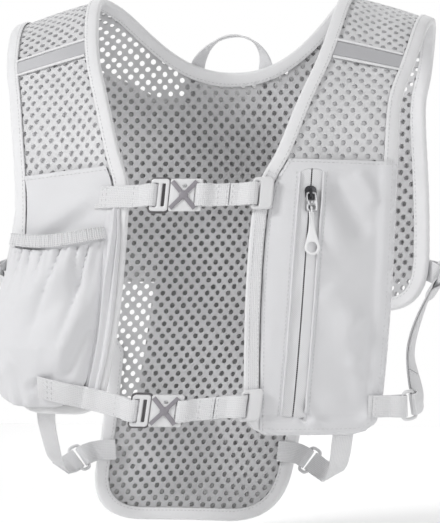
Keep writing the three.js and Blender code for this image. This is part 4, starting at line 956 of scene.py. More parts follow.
def rumpled(size, depth, seed):
    # a slow unevenness over the cloth
    def height(x, path):
        x, path = np.broadcast_arrays(x, path)
        return depth * np.array([
            noise.noise(Vector((a / size, b / size, seed)))
            + 0.5 * noise.noise(Vector((2 * a / size, 2 * b / size, seed + 7)))
            for a, b in zip(np.ravel(x), np.ravel(path))
        ]).reshape(x.shape)
    return height


zipPocket = {
    "top": 0.392, "bottom": 0.968, "bulge": 4, "over": 2.8, "wrap": 6.2,
    "mouthHalf": 7.9, "mouthTop": 3.2, "mouthLow": 2.4, "rimSeam": 5.5, "innerSeam": 2.2, "mouthSeam": 2.6,
}
zipDown = [(0.425, 0.895), (0.6, 0.905), (0.8, 0.93), (0.945, 0.955)]  # down, across as a share of the neck half width
pocketHigh, pocketLow = frontDown(zipPocket["top"]), frontDown(zipPocket["bottom"])


def zipPocketLift(x, path):
    u = share(x, leftInner(path) + inset, leftOuter(path) - inset)
    v = share(path, pocketHigh, pocketLow)
    edge = np.minimum(1, np.minimum(5 * v, 5 * (1 - v))) ** 0.5
    return overMesh + zipPocket["bulge"] * hump(u) ** 0.8 * edge


zipPoints = [(across * form["neckHalf"], frontDown(down)) for down, across in zipDown]
zipPath = spaced(zipPoints, 3)
zipPath = np.vstack([zipPath, zipPath[-1] + (zipPath[-1] - zipPath[-2]) * np.arange(1, 5)[:, None]])
rim = beside(evenly(panels["left"]["line"], 3), -zipPocket["over"])
rim = rim[(rim[:, 1] < pocketHigh) & (rim[:, 0] > leftInner(rim[:, 1]) + inset * 1.1)]
innerSide = np.linspace(pocketHigh, rim[0, 1], 50)[:-1]
innerSide = np.stack([leftInner(innerSide) + inset * 1.04, innerSide], 1)
pocketOutline = closed(np.vstack([innerSide, rim]), 3)
pocketRumple = rumpled(30, 1.1, 2.5)
zipCreases = creased([
    ((89, pocketLow + 11), (103, pocketLow - 6), 2.4, -5.0), ((95, pocketLow + 12), (110, pocketLow - 6), 3.4, 3.0),
    ((128, pocketLow + 30), (118, pocketLow + 80), 8, 2.0), ((138, pocketLow + 8), (126, pocketLow + 46), 5, 1.6),
    ((62, pocketHigh - 18), (74, pocketHigh - 60), 7, 0.8), ((96, pocketHigh - 12), (128, pocketHigh - 58), 7, -4.2),
    ((84, pocketHigh - 10), (112, pocketHigh - 70), 8, 2.6), ((116, pocketHigh - 8), (132, pocketHigh - 34), 5, 2.6),
    ((100, pocketHigh - 92), (130, pocketHigh - 124), 9, 2.4), ((60, pocketLow + 24), (70, pocketLow + 70), 6, 1.0),
])


def zipPocketFace(x, path):
    # the cloth runs over the folded tape at the hem and outer edge, and wraps round them
    away = nearest(np.stack([x, path], 1), rim)
    lift = zipPocketLift(x, path)
    lift += (np.maximum(lift, overTape + 0.5) - lift) * smooth((15 - away) / 5)
    folds = (pocketRumple(x, path) + zipCreases(x, path)) * smooth(away / 5)
    seam = -0.5 * np.exp(-(((away - zipPocket["rimSeam"]) / 1.1) ** 2))
    return lift + folds + seam - zipPocket["wrap"] * (1 - smooth(away / 3.2)) ** 1.3


mouthLine = zipPath[:-2]
wide = zipPocket["mouthHalf"]
turn = np.linspace(0, math.pi, 9)[1:-1, None]
mouthSides = [beside(mouthLine, side * wide) for side in (1, -1)]
topHalf, lowHalf = ((mouthSides[0][k] - mouthSides[1][k]) / 2 for k in (0, -1))
mouth = np.vstack([
    mouthSides[0][::-1], mouthLine[0] + topHalf * np.cos(turn) + np.array([0, zipPocket["mouthTop"]]) * np.sin(turn),
    mouthSides[1], mouthLine[-1] - lowHalf * np.cos(turn) - np.array([0, zipPocket["mouthLow"]]) * np.sin(turn),
])
layCloth("zipPocketCloth", "zip_pocket", pocketOutline, zipPocketFace, pitch=2.6, holes=[mouth])
welt = {"width": 1.7, "bottom": 0.3, "top": 2.4, "apart": 0.3}
for label, side in (("Inner", -1), ("Outer", 1)):
    layBand("zip" + label + "Welt", beside(mouthLine, -side * (wide + welt["apart"])),
            roundBand(welt["width"], welt["bottom"], welt["top"], 0.8), "smoothCloth", slot="smooth_cloth",
            lift=zipPocketFace)
pocketSeams = [
    beside(rim, zipPocket["rimSeam"]), beside(innerSide, zipPocket["innerSeam"]),
    evenly(np.array([innerSide[0], rim[-1]]) - (0, zipPocket["innerSeam"]), 3),
    *(beside(mouthLine, side * (wide + zipPocket["mouthSeam"])) for side in (1, -1)),
]
stitchCloth("zipPocketStitches", pocketSeams, zipPocketFace, 2)

bottle = {
    "top": 0.55, "bottom": 0.955, "mouthBand": 9, "bulge": 17, "inner": 13, "overhang": 14, "corner": 26,
    "gatherWidth": 2.0, "sag": 5, "slant": 4.5,
}
mouthPath, bottleLow = frontDown(bottle["top"]), frontDown(bottle["bottom"])
bottleTop = mouthPath - bottle["mouthBand"] - cloth["seamGap"] - 1


def bottleStart(path):
    return rightInner(path) + bottle["inner"]


def bottleEnd(path):
    return rightOuter(path) + bottle["overhang"] * smooth(1.5 * share(path, mouthPath, bottleLow))


def bottleLift(x, path):
    u = share(-x, bottleStart(path), bottleEnd(path))
    v = share(path, mouthPath + 12, bottleLow)
    round_ = hump(u) ** 0.55 * np.minimum(1, 0.62 + 0.7 * v) * np.minimum(1, 3.2 * (1 - v)) ** 0.6
    return overTape + 2 * smooth(6 * u) + bottle["bulge"] * round_


def sagAt(x):
    # the mouth hangs in the middle and lower at its outer end
    u = share(-x, bottleStart(mouthPath), bottleEnd(mouthPath))
    return -bottle["sag"] * hump(u) + bottle["slant"] * (0.45 - u)


# gathers below the elastic: share across from the inner edge, depth, length and lean outwards
gathers = [
    (0.05, 4.4, 26, 0.02), (0.14, 7.4, 50, 0.08), (0.24, 6.6, 32, -0.03), (0.33, 3.4, 15, 0.0), (0.4, 7.0, 36, 0.07),
    (0.5, 3.8, 15, -0.02), (0.58, 6.2, 24, 0.03), (0.65, 3.4, 13, 0.0), (0.72, 6.2, 22, -0.03), (0.82, 6.6, 28, 0.05),
    (0.9, 4.6, 20, 0.02), (0.96, 3.0, 16, 0.0),
]


def bottleGathers(x, path):
    # sharp valleys with round cloth between them, that die out down the pocket
    u = share(-x, bottleStart(path), bottleEnd(path))
    down = np.maximum(0, bottleTop + sagAt(x) - path)
    wide = bottleEnd(path) - bottleStart(path)
    total = np.zeros(np.broadcast(x, path).shape)
    for at, depth, long, lean in gathers:
        away = np.abs(u - at - lean * down / long) * wide
        spread = bottle["gatherWidth"] * (1 + 0.8 * down / long)
        total = total - depth * np.exp(-((down / long) ** 1.5) - away / spread)
    low = share(path, bottleLow + 24, bottleLow + 4)
    return total + 1.2 * low * np.sin(26 * u + 1.5 * np.sin(9 * u)) * hump(u) ** 0.3


bottleCreases = creased([
    ((-72, -240), (-122, -286), 8, 2.8), ((-64, -256), (-108, -302), 7, -2.2),
    ((-64, -276), (-84, -330), 6, 2.6), ((-62, -290), (-74, -336), 3.5, -2.8),
    ((-112, -318), (-132, -336), 6, 2.0), ((-80, -332), (-104, -342), 4, -2.0),
])
bottleRumple = rumpled(22, 1.0, 5.5)
bottlePaths = np.linspace(bottleTop, bottleLow, 41)
bottleOutline = closed(closeFront(
    np.stack([-bottleStart(bottlePaths), bottlePaths], 1),
    np.stack([-bottleEnd(bottlePaths), bottlePaths], 1),
    bottle["corner"],
), 3)
bottleOutline[:, 1] += np.where(bottleOutline[:, 1] > bottleTop - 1, sagAt(bottleOutline[:, 0]), 0)


def bottleFace(x, path):
    return bottleLift(x, path) + bottleGathers(x, path) + bottleCreases(x, path) + bottleRumple(x, path)


layCloth("bottlePocketCloth", "bottle_pocket", bottleOutline, bottleFace, pitch=1.9)
elastic = {"thick": 1.8, "seam": 3.4}
elasticLine = spaced([(-bottleStart(mouthPath), mouthPath), (-bottleEnd(mouthPath), mouthPath)], 0.7)
elasticLine[:, 1] += sagAt(elasticLine[:, 0]) - bottle["mouthBand"] / 2


def elasticLift(x, path):
    return bottleLift(x, path) + 0.3 * np.sin(x * 2.6) + 0.25 * np.sin(x * 0.7)


rings, pattern = alongLine(elasticLine, roundBand(bottle["mouthBand"], 0, elastic["thick"], 0.6), lift=elasticLift)
fit(sweep("bottlePocketElastic", rings, "elasticBand", pattern[:, [1, 0, 2]]), "bottle_pocket_elastic",
    slot="binding_tape")
elasticSeams = [beside(elasticLine[::4], by * elastic["seam"]) for by in (-1, 1)]
stitchCloth("elasticStitches", elasticSeams, elasticLift, 3, "binding_tape", elastic["thick"])

yoke = {"top": 0.398, "bottom": 0.62, "slant": 9.5, "from": 50, "to": 130, "slantDown": 0.46, "fade": 20, "seam": 3.2}
yokeRumple = rumpled(26, 0.8, 1.5)
yokeCreases = creased([((-60, -190), (-122, -232), 9, 3.2), ((-66, -206), (-112, -238), 6, -2.2)])
yokeTop = frontDown(yoke["top"])
yokeOutline = closed(frontPiece((rightInner, rightOuter), -1, yokeTop, frontDown(yoke["bottom"]), inset))
topRow = yokeOutline[:, 1] > yokeTop - 1
# the top edge falls towards the arm
slant = yoke["slant"] * share(-yokeOutline[:, 0], yoke["from"], yoke["to"]) ** 0.8
yokeOutline[:, 1] -= slant * clamp((yokeOutline[:, 1] - frontDown(yoke["slantDown"])) / yoke["fade"])


def yokeFace(x, path):
    return overMesh + 0.3 + yokeRumple(x, path) + yokeCreases(x, path)


layCloth("yokeCloth", "yoke_cloth", yokeOutline, yokeFace)
yokeSeam = yokeOutline[topRow]
yokeSeam = yokeSeam[np.argsort(yokeSeam[:, 0])] - (0, yoke["seam"])
stitchCloth("yokeStitches", [evenly(yokeSeam, 3)], yokeFace, 4)

gusset = {
    "width": 13.4, "middle": 8.0, "top": 0.5, "bottom": 0.95,
    "folds": [0.1, 0.3, 0.2, 3.6, 2.4, 0.2, 1.9, 0.2],  # heights of the pleats, across
}
gussetPath = np.linspace(frontDown(gusset["top"]), frontDown(gusset["bottom"]), 61)
gussetLine = np.stack([-(rightInner(gussetPath) + gusset["middle"]), gussetPath], 1)
ridge = curveThrough([*enumerate(gusset["folds"])], 0, 5)
ridge[:, 0] = gusset["width"] * (ridge[:, 0] / (len(gusset["folds"]) - 1) - 0.5)
sideways, fold = np.vstack([ridge, ridge[::-1] + (0, cloth["fabricThick"])]).T
run = lengths(gussetLine)[:, None]
v = run / run[-1]
slim = 0.72 + 0.28 * smooth(v * 6) - 0.25 * smooth((v - 0.75) * 4)
sway = 1.2 * (1.1 * np.sin(run / 31 + 1.3) + 0.5 * np.sin(run / 13))
slide = 1 - np.abs(sideways) / (gusset["width"] / 2)
opened = (0.35 + 0.65 * hump(v) ** 0.4) * (1 + 0.3 * np.sin(run / 21))
rings, pattern = alongLine(gussetLine, np.stack([sideways * slim + sway * slide, fold * opened], -1), lift=overTape)
pleats = sweep("pleatedPocket", rings, "smoothCloth", pattern)
fit(pleats, "inner_pocket", slot="smooth_cloth")
print("pockets in front ready")

# Outer pieces of the back
sleeve = {"top": 0.18, "bottom": 0.795, "half": 58, "bulge": 13, "seam": 2.6, "hem": 14}
sleeveRumple = rumpled(34, 1.0, 3.5)
sleeveCreases = creased([
    ((-40, 120), (-10, 230), 14, 1.6), ((36, 150), (14, 260), 12, 1.4), ((-30, 260), (30, 285), 10, -1.4),
])


def sleeveLift(x, path):
    across = hump(share(x, -sleeve["half"], sleeve["half"])) ** 0.6
    v = share(path, backDown(sleeve["top"]) - 25, backDown(sleeve["bottom"]))
    folds = (sleeveRumple(x, path) + sleeveCreases(x, path)) * across
    return overMesh + 0.2 + sleeve["bulge"] * across * np.minimum(1, 3 * (1 - v)) ** 0.6 + folds


def box(left, right, top, bottom, pitch=4):
    corners = [(left, top), (right, top), (right, bottom), (left, bottom), (left, top)]
    return np.vstack([evenly(np.array([a, b], float), pitch)[:-1] for a, b in zip(corners, corners[1:])])


sleeveTop, sleeveLow = backDown(sleeve["top"]), backDown(sleeve["bottom"])


def raiseTop(line):
    # the sleeve's top edge follows the neck over most of its width
    x, path = line.T
    room = sleeveTop - np.interp(np.abs(x), neckLine[:, 0], neckLine[:, 1]) - inset - 1
    return line - np.column_stack([0 * x, room * share(x, -42, -30) * share(path, sleeveTop + 24, sleeveTop)])


sleeveOutline = raiseTop(box(-sleeve["half"], sleeve["half"], sleeveTop, sleeveLow))
layCloth("sleeveCloth", "back_sleeve", sleeveOutline, sleeveLift, "liningCloth", pitch=5)
seamHalf = sleeve["half"] - sleeve["seam"]
hemPath = sleeveTop + sleeve["hem"]
stitchCloth("sleeveStitches", [
    raiseTop(box(-seamHalf, seamHalf, sleeveTop + sleeve["seam"], sleeveLow - sleeve["seam"], 3)),
    raiseTop(evenly(np.array([(-seamHalf, hemPath), (seamHalf, hemPath)], float), 3)),
], sleeveLift, 5)

wing = {"bottom": 0.535, "below": 4, "above": 24, "side": 120, "taper": 14, "seam": 3}
wingBottom, wingStart = backDown(wing["bottom"]), sleeve["half"] + 0.1
wingRumple = rumpled(28, 0.45, 6.5)


def wingFace(x, path):
    return overMesh + 0.3 + wingRumple(x, path)


for name, flip, top in (
    ("left", 1, [(wingStart, 70), (72, 54), (86, 42), (100, 50), (116, 76), (134, 94)]),
    ("right", -1, [(wingStart, sleeveTop + 1), (100, sleeveTop - 24)]),
):
    x, path = backLine.T
    high, low = top[-1][1], backAt(backShape["wingDrop"]) - wing["above"]
    side = backLine[(path > high + wing["below"]) & (path < low) & (x > wing["side"])] - [inset, 0]
    topLine = evenly(np.array([*top, (side[0, 0], high)]), 4)
    bottomLine = evenly(np.array([(side[-1, 0] - wing["taper"], wingBottom), (wingStart, wingBottom)]), 4)
    wingOutline = closed(np.vstack([topLine, side, bottomLine])) * [flip, 1]
    layCloth(name + "WingCloth", name + "_wing", wingOutline, wingFace, "liningCloth", 5)
    stitchCloth(name + "WingStitches", [(topLine[1:-1] + (0, wing["seam"])) * [flip, 1]], wingFace, 6)

waist = {
    "top": sleeveLow + 0.2, "low": backDown(1) - 3.5, "half": backShape["hemHalf"] - 3.5, "corner": 41, "seam": 3,
}
waistEnd = (waist["half"], waist["top"])
waistSide = np.vstack([
    evenly(np.array([(0, waist["top"]), waistEnd], float), 4),
    evenly(np.array([waistEnd, (waist["half"], waist["low"] - waist["corner"])], float), 4)[1:-1],
    turnCorner(waistEnd, (waist["half"], waist["low"]), (0, waist["low"]), waist["corner"], 13),
    evenly(np.array([(waist["half"] - waist["corner"], waist["low"]), (0, waist["low"])], float), 4)[1:],
])
waistOutline = np.vstack([waistSide, (waistSide * mirror)[-2:0:-1]])


def waistFace(x, path):
    # the cloth lies over the tape round the hem
    away = nearest(np.stack([x, path], 1), backEdgeLine)
    return wingFace(x, path) + (overTape - overMesh) * smooth((cloth["tapeWidth"] + 6 - away) / 5)


layCloth("waistCloth", "waist_pocket", waistOutline, waistFace, "liningCloth")
waistSeam = (waist["half"] - waist["seam"], waist["top"] + waist["seam"])
waistRow = evenly(np.array([waistSeam * mirror, waistSeam]), 3)
stitchCloth("waistStitches", [waistRow], wingFace, 7)
print("pieces of the back ready")

# Moulded plates and webbing, drawn flat with their length along x, width along y and height along z


def plate(loops, thick, bevel=0.5, steps=3, at=(0, 0, 0)):
    # a plate with rounded edges, from its outline and the outlines of its holes
    turned = [np.asarray(loop, float) for loop in loops]
    turned = [loop if (shoelace(loop) > 0) == (k == 0) else loop[::-1] for k, loop in enumerate(turned)]
    insets = []
    for loop in turned:
        step = unit(np.roll(loop, -1, axis=0) - loop)
        normal = np.stack([-step[:, 1], step[:, 0]], 1)
        before = np.roll(normal, 1, axis=0)
        insets.append((normal + before) / np.maximum(0.5, 1 + np.sum(normal * before, axis=1, keepdims=True)))
    turns = np.linspace(0, math.pi / 2, steps)
    levels = [(bevel * (1 - math.sin(a)), -thick / 2 + bevel * (1 - math.cos(a))) for a in turns]
    levels += [(by, -height) for by, height in reversed(levels)]
    count = sum(len(loop) for loop in turned)
    points = np.vstack([
        np.column_stack([loop + inward * by, np.full(len(loop), height)])
        for by, height in levels for loop, inward in zip(turned, insets)
    ])
    faces, start = [], 0
    for loop in turned:
        for row in range(len(levels) - 1):
            a, b = row * count + start, (row + 1) * count + start
            faces += [[a + i, a + (i + 1) % len(loop), b + (i + 1) % len(loop), b + i] for i in range(len(loop))]
        start += len(loop)
    _, cap = triangulate([loop + inward * bevel for loop, inward in zip(turned, insets)])
    top = (len(levels) - 1) * count
    return points + at, faces + [f[::-1] for f in cap] + [[i + top for i in f] for f in cap]


def mould(name, parts, place, look, *nodes, slot="buckle_plastic", body="vest"):
    # one piece from plates and wires that are placed together
    points, faces = [], []
    for part, partFaces in parts:
        start = sum(len(p) for p in points)
        points.append(part)
        faces += [[i + start for i in f] for f in partFaces]
    piece = newPiece(name, place(np.vstack(points)), faces, look, None, 35)
    return fit(outward(piece), *nodes, slot=slot, body=body)


def bodyPlace(x, path, drift=None, lift=None):
    # carries flat measures onto the body; drift shifts them up the chest and lift raises them
    def place(points):
        across = x + points[..., 0]
        along = path + points[..., 1] + (drift(points[..., 0]) if drift else 0)
        return onVest(across, along, points[..., 2] + (lift(across, along) if lift else 0))
    return place


def linePlace(line, normals):
    # carries flat measures onto a line in space, whose normal turns from the first of three to the last
    at = lengths(line)
    ways = np.gradient(line, at, axis=0)

    def place(points):
        p = np.asarray(points, float).reshape(-1, 3)
        run = np.clip(p[:, 0], 0, at[-1])
        t = (run / at[-1])[:, None]
        here, way = (np.stack([np.interp(run, at, v[:, k]) for k in range(3)], 1) for v in (line, ways))
        way = unit(way)
        wanted = (1 - t) ** 2 * normals[0] + 2 * t * (1 - t) * normals[1] + t * t * normals[2]
        wide = unit(np.cross(wanted, way))
        up = np.cross(way, wide)
        made = here + way * (p[:, 0] - run)[:, None] + wide * p[:, 1:2] + up * p[:, 2:]
        return made.reshape(np.shape(points))
    return place


webbing = {"width": 16, "thick": 1.2, "reach": 9, "gap": 0.4, "pitch": 1.6}
fitting = {
    "bar": 2.4, "thick": 3.4, "wire": 2.6, "frame": 13.4, "hook": 23.4, "clip": 15, "ring": 13, "lock": 19,
    "apart": 0.2,
}
fittingBar = fitting["bar"] / 2
foldRadius = math.hypot(fittingBar, fitting["thick"] / 2) + 0.25 + webbing["thick"] / 2
slotGap = foldRadius - fittingBar + webbing["thick"] / 2 + 0.8
slotHeight = webbing["width"] + 1.2
fittingHeight = slotHeight + 6
strapHeight = overTape + webbing["thick"] / 2
buckleHeight = strapHeight + foldRadius
ringRadius = fitting["wire"] / 2 + 0.9 + webbing["thick"] / 2


def foldedRound(start, bar, backTo, height, radius, base):
    # webbing folded round a bar, as a line of (length, height): in below it and back above it
    way = math.copysign(1, bar - start)
    upper = base + webbing["thick"] + webbing["gap"]

    def level(s, far, near):
        return near + (far - near) * smooth((np.abs(s - bar) - 2) / webbing["reach"])

    def stops(a, b):
        return np.linspace(a, b, max(3, round(abs(b - a) / 1.5)))

    below = stops(start, bar - way * 2)
    turn = np.linspace(-math.pi / 2, math.pi / 2, 11)
    above = stops(bar - way * 2, backTo)
    return np.vstack([
        np.stack([below, level(below, base, height - radius)], 1),
        np.stack([bar + way * radius * np.cos(turn), height + radius * np.sin(turn)], 1),
        np.stack([above, level(above, upper, height + radius)], 1),
    ])


def loopBetween(left, right, seam, height, radius, base):
    # a loop of webbing between two bars, with its ends meeting on top
    middle = (left + right) / 2
    leftHalf = foldedRound(middle, left, seam - 0.4, height, radius, base)
    rightHalf = foldedRound(middle, right, seam + 0.4, height, radius, base)
    return np.vstack([leftHalf[::-1], rightHalf[1:]])


def layStrap(name, line, place, node):
    # webbing along a line of (length, height), with rounded selvedges
    line = evenly(np.asarray(line, float), webbing["pitch"] / 2)
    way = unit(np.gradient(line, axis=0))
    w, h = roundedBox(webbing["width"], webbing["thick"], 0.5, 2).T
    rings = np.stack([
        line[:, :1] - way[:, 1:] * h, np.broadcast_to(w, (len(line), len(w))), line[:, 1:] + way[:, :1] * h,
    ], -1)
    pattern = np.stack(np.broadcast_arrays(w, lengths(line)[:, None], h), -1).reshape(-1, 3)
    fit(sweep(name, place(rings), "ribbedWebbing", pattern, sharp=70), node, slot="webbing")


def slotAt(x, radius=0.7):
    # a slot for webbing in a plate, with its middle at x
    return roundedBox(slotGap, slotHeight, radius) + (x, 0)


def frameLoops():
    half = fitting["frame"] / 2
    far = roundedBox(2.6, slotHeight - 0.8, 0.7) + (half - fitting["bar"] - 1.5, 0)
    return [roundedBox(fitting["frame"], fittingHeight, 2.4, 5), slotAt(-half + fitting["bar"] + slotGap / 2), far]


def hookLoops():
    x, h = fitting["hook"] / 2, slotHeight / 2
    edge = x - fitting["bar"]
    window = [(edge, -h), (edge, h), (edge - slotGap, h), (edge - slotGap, -h)]
    return [roundedBox(2 * x, fittingHeight, 1.5), window, roundedBox(3.4, 2.4, 1.2) + (-1.0, 6.4)]


def crossBar(start, end, width):
    # a straight rib between two points
    a, b = np.array(start, float), np.array(end, float)
    way = unit(b - a)
    side = np.array([-way[1], way[0]]) * width / 2
    return np.array([a - side, b - side, b + side, a + side])


def barRows(ats, half, height):
    # short rows of stitches across webbing
    return [np.array([(at, -half, height), (at, half, height)]) for at in ats]


def bottleTail(x, path):
    inner = bottleStart(path)
    rise = smooth((-x - inner + 12) / 10) * (cloth["fabricThick"] + 1.3)
    return rise + np.maximum(0, bottleLift(np.minimum(x, -inner), path) - overTape)


# Chest straps: lengths count from the buckle towards the wearer's left
chestStraps = [
    {"name": "upper", "x": -14, "down": 0.476, "tail": -56, "foldEnd": -52, "tailSlope": 0.03, "loopSlope": 0.03},
    {"name": "lower", "x": -10.2, "down": 0.956, "tail": -82, "foldEnd": -76, "tailSlope": -0.24, "loopSlope": 0.1},
]
shadowShoe = {"past": 2.6, "higher": 2.8, "thick": 1.4}  # the dark plate under the frame: painted shadow, a dark line round the frame's edge
crossRib = {"width": 3.2, "half": 9.6, "left": 1.6, "right": 4.2, "thick": 2.2, "boss": 6.4, "bossAt": -1.3}


def chestStrap(row):
    name, path = row["name"], frontDown(row["down"])
    frameEnd, hookHalf = -fitting["frame"] - fitting["apart"], fitting["hook"] / 2
    fold = {"height": buckleHeight, "radius": foldRadius, "base": strapHeight}

    def drift(s):
        return row["tailSlope"] * np.minimum(0, s - frameEnd) + row["loopSlope"] * np.maximum(0, s - fitting["hook"])

    place = bodyPlace(row["x"], path, drift, bottleTail if name == "lower" else None)
    tail = foldedRound(row["tail"], frameEnd + fittingBar, row["foldEnd"], **fold)
    layStrap(name + "TailStrap", tail, place, name + "_strap_right")
    middle = np.array([-fitting["frame"] / 2 - fitting["apart"], 0, buckleHeight])
    frameLine, near, far = frameLoops()
    mould(name + "BuckleFrame", [plate([frameLine, near, far], fitting["thick"] - 0.6, 0.7, at=middle + (0, 0, 0.3))],
          place, "palePlastic", name + "_buckle_frame")
    # the dark plate under the frame is painted shadow: it draws the shadow line round the frame
    shadowShoeLine = roundedBox(fitting["frame"] + shadowShoe["past"], fittingHeight + shadowShoe["higher"], 3.2, 5)
    mould(name + "FrameShadowShoe", [plate([shadowShoeLine, near], shadowShoe["thick"], 0.4, at=middle - (0.3, 0, 1.3))],
          place, "paintedShadowPlastic")
    middle = np.array([hookHalf + fitting["apart"], 0, buckleHeight])
    mould(name + "BuckleHook", [plate(hookLoops(), fitting["thick"] - 1.2, at=middle - (0, 0, 0.4))],
          place, "palePlastic", name + "_buckle_hook")
    crossAt = middle + (0, 0, fitting["thick"] / 2 - 0.6)
    ribs = []
    for sign in (-1, 1):
        rise = sign * crossRib["half"]
        rib = crossBar((-hookHalf + crossRib["left"], -rise), (hookHalf - crossRib["right"], rise), crossRib["width"])
        ribs.append(plate([rib], crossRib["thick"], 0.6, at=crossAt + (0, 0, sign * 0.02)))
    boss = roundedBox(crossRib["boss"], crossRib["boss"], crossRib["boss"] / 2, 5) + (crossRib["bossAt"], 0)
    ribs.append(plate([boss], crossRib["thick"] + 0.2, 0.7, at=crossAt))
    mould(name + "HookCross", ribs, place, "greyPlastic")

    left = fitting["hook"] + fitting["apart"] - fittingBar
    right = float(leftInner(path + drift(60))) - row["x"] - 3.2
    seam = left + 0.55 * (right - left)
    layStrap(name + "LoopStrap", loopBetween(left, right, seam, **fold), place, name + "_strap_left")
    clipLoops = [roundedBox(fitting["clip"], fittingHeight, 3.2, 6),
                 slotAt(-fitting["clip"] / 2 + fitting["bar"] + slotGap / 2, 0.8)]
    clipAt = (right + fitting["clip"] / 2 - fittingBar, 0, buckleHeight)
    mould(name + "StrapClip", [plate(clipLoops, fitting["thick"], 1.5, 5, clipAt)], place, "palePlastic",
          name + "_strap_clip")
    high = strapHeight + webbing["thick"] * 1.5 + webbing["gap"]
    ats = [row["foldEnd"] + 2, row["foldEnd"] + 5, frameEnd - 13, seam - 2, seam + 2, left + 12.5]
    stitch(name + "StrapStitches", barRows(ats, webbing["width"] / 2 - 2, high), "webbing", place, 8)


for row in chestStraps:
    chestStrap(row)
print("chest straps ready")

# Webbing adjusters at the sides
sideFold = {"height": 1.2, "radius": foldRadius, "base": 0.0}
ringFold = {"height": 1.2, "radius": ringRadius, "base": 0.0}
underTape = -cloth["tapeClear"] - cloth["tapeWall"] - 2.8
sides = [
    {"name": "left", "side": 1, "down": 0.945, "reach": 21, "stitched": 9, "height": overTape + 2.6, "chestRise": 0.8,
     "bow": 8, "seat": 0.6},
    {"name": "right", "side": -1, "down": 0.85, "reach": 15, "stitched": 16, "height": underTape - 1.5, "chestRise": 0,
     "bow": 1, "seat": 1.8},
]
wingPoint = {"x": backEdge[-1][1] * form["shoulderHalf"], "drop": backShape["wingDrop"] - 32}
halfLock = fitting["lock"] / 2 - fittingBar
halfRing = fitting["ring"] / 2 - fitting["wire"] / 2
stitchLevel = webbing["thick"] * 1.5 + webbing["gap"]
# places along the side straps: the lock from the wing, the ring of the lower strap from the waist, and fold ends
strapPlaces = {"lock": 34, "ring": 32, "tabEnd": 12, "ringTabEnd": 3, "hemFold": 30, "seamHalf": 6}
lockPlace = strapPlaces["lock"]


def ringPiece(name, at, place, node):
    # a ring of round wire
    middle = roundedBox(fitting["ring"] - fitting["wire"], fittingHeight - fitting["wire"], 3.4, 6)
    middle = evenly(np.vstack([middle, middle[:1]]), 1.4)[:-1]
    way = unit(np.roll(middle, -1, axis=0) - np.roll(middle, 1, axis=0))
    turns = np.linspace(0, 2 * math.pi, 12, endpoint=False)
    r = fitting["wire"] / 2
    rings = np.stack([
        at + middle[:, :1] - way[:, 1:] * r * np.cos(turns), middle[:, 1:] + way[:, :1] * r * np.cos(turns),
        sideFold["height"] + np.broadcast_to(r * np.sin(turns), (len(middle), 12)),
    ], -1)
    fit(sweep(name, place(rings), "palePlastic", closedRow=True), node, slot="grey_metal")


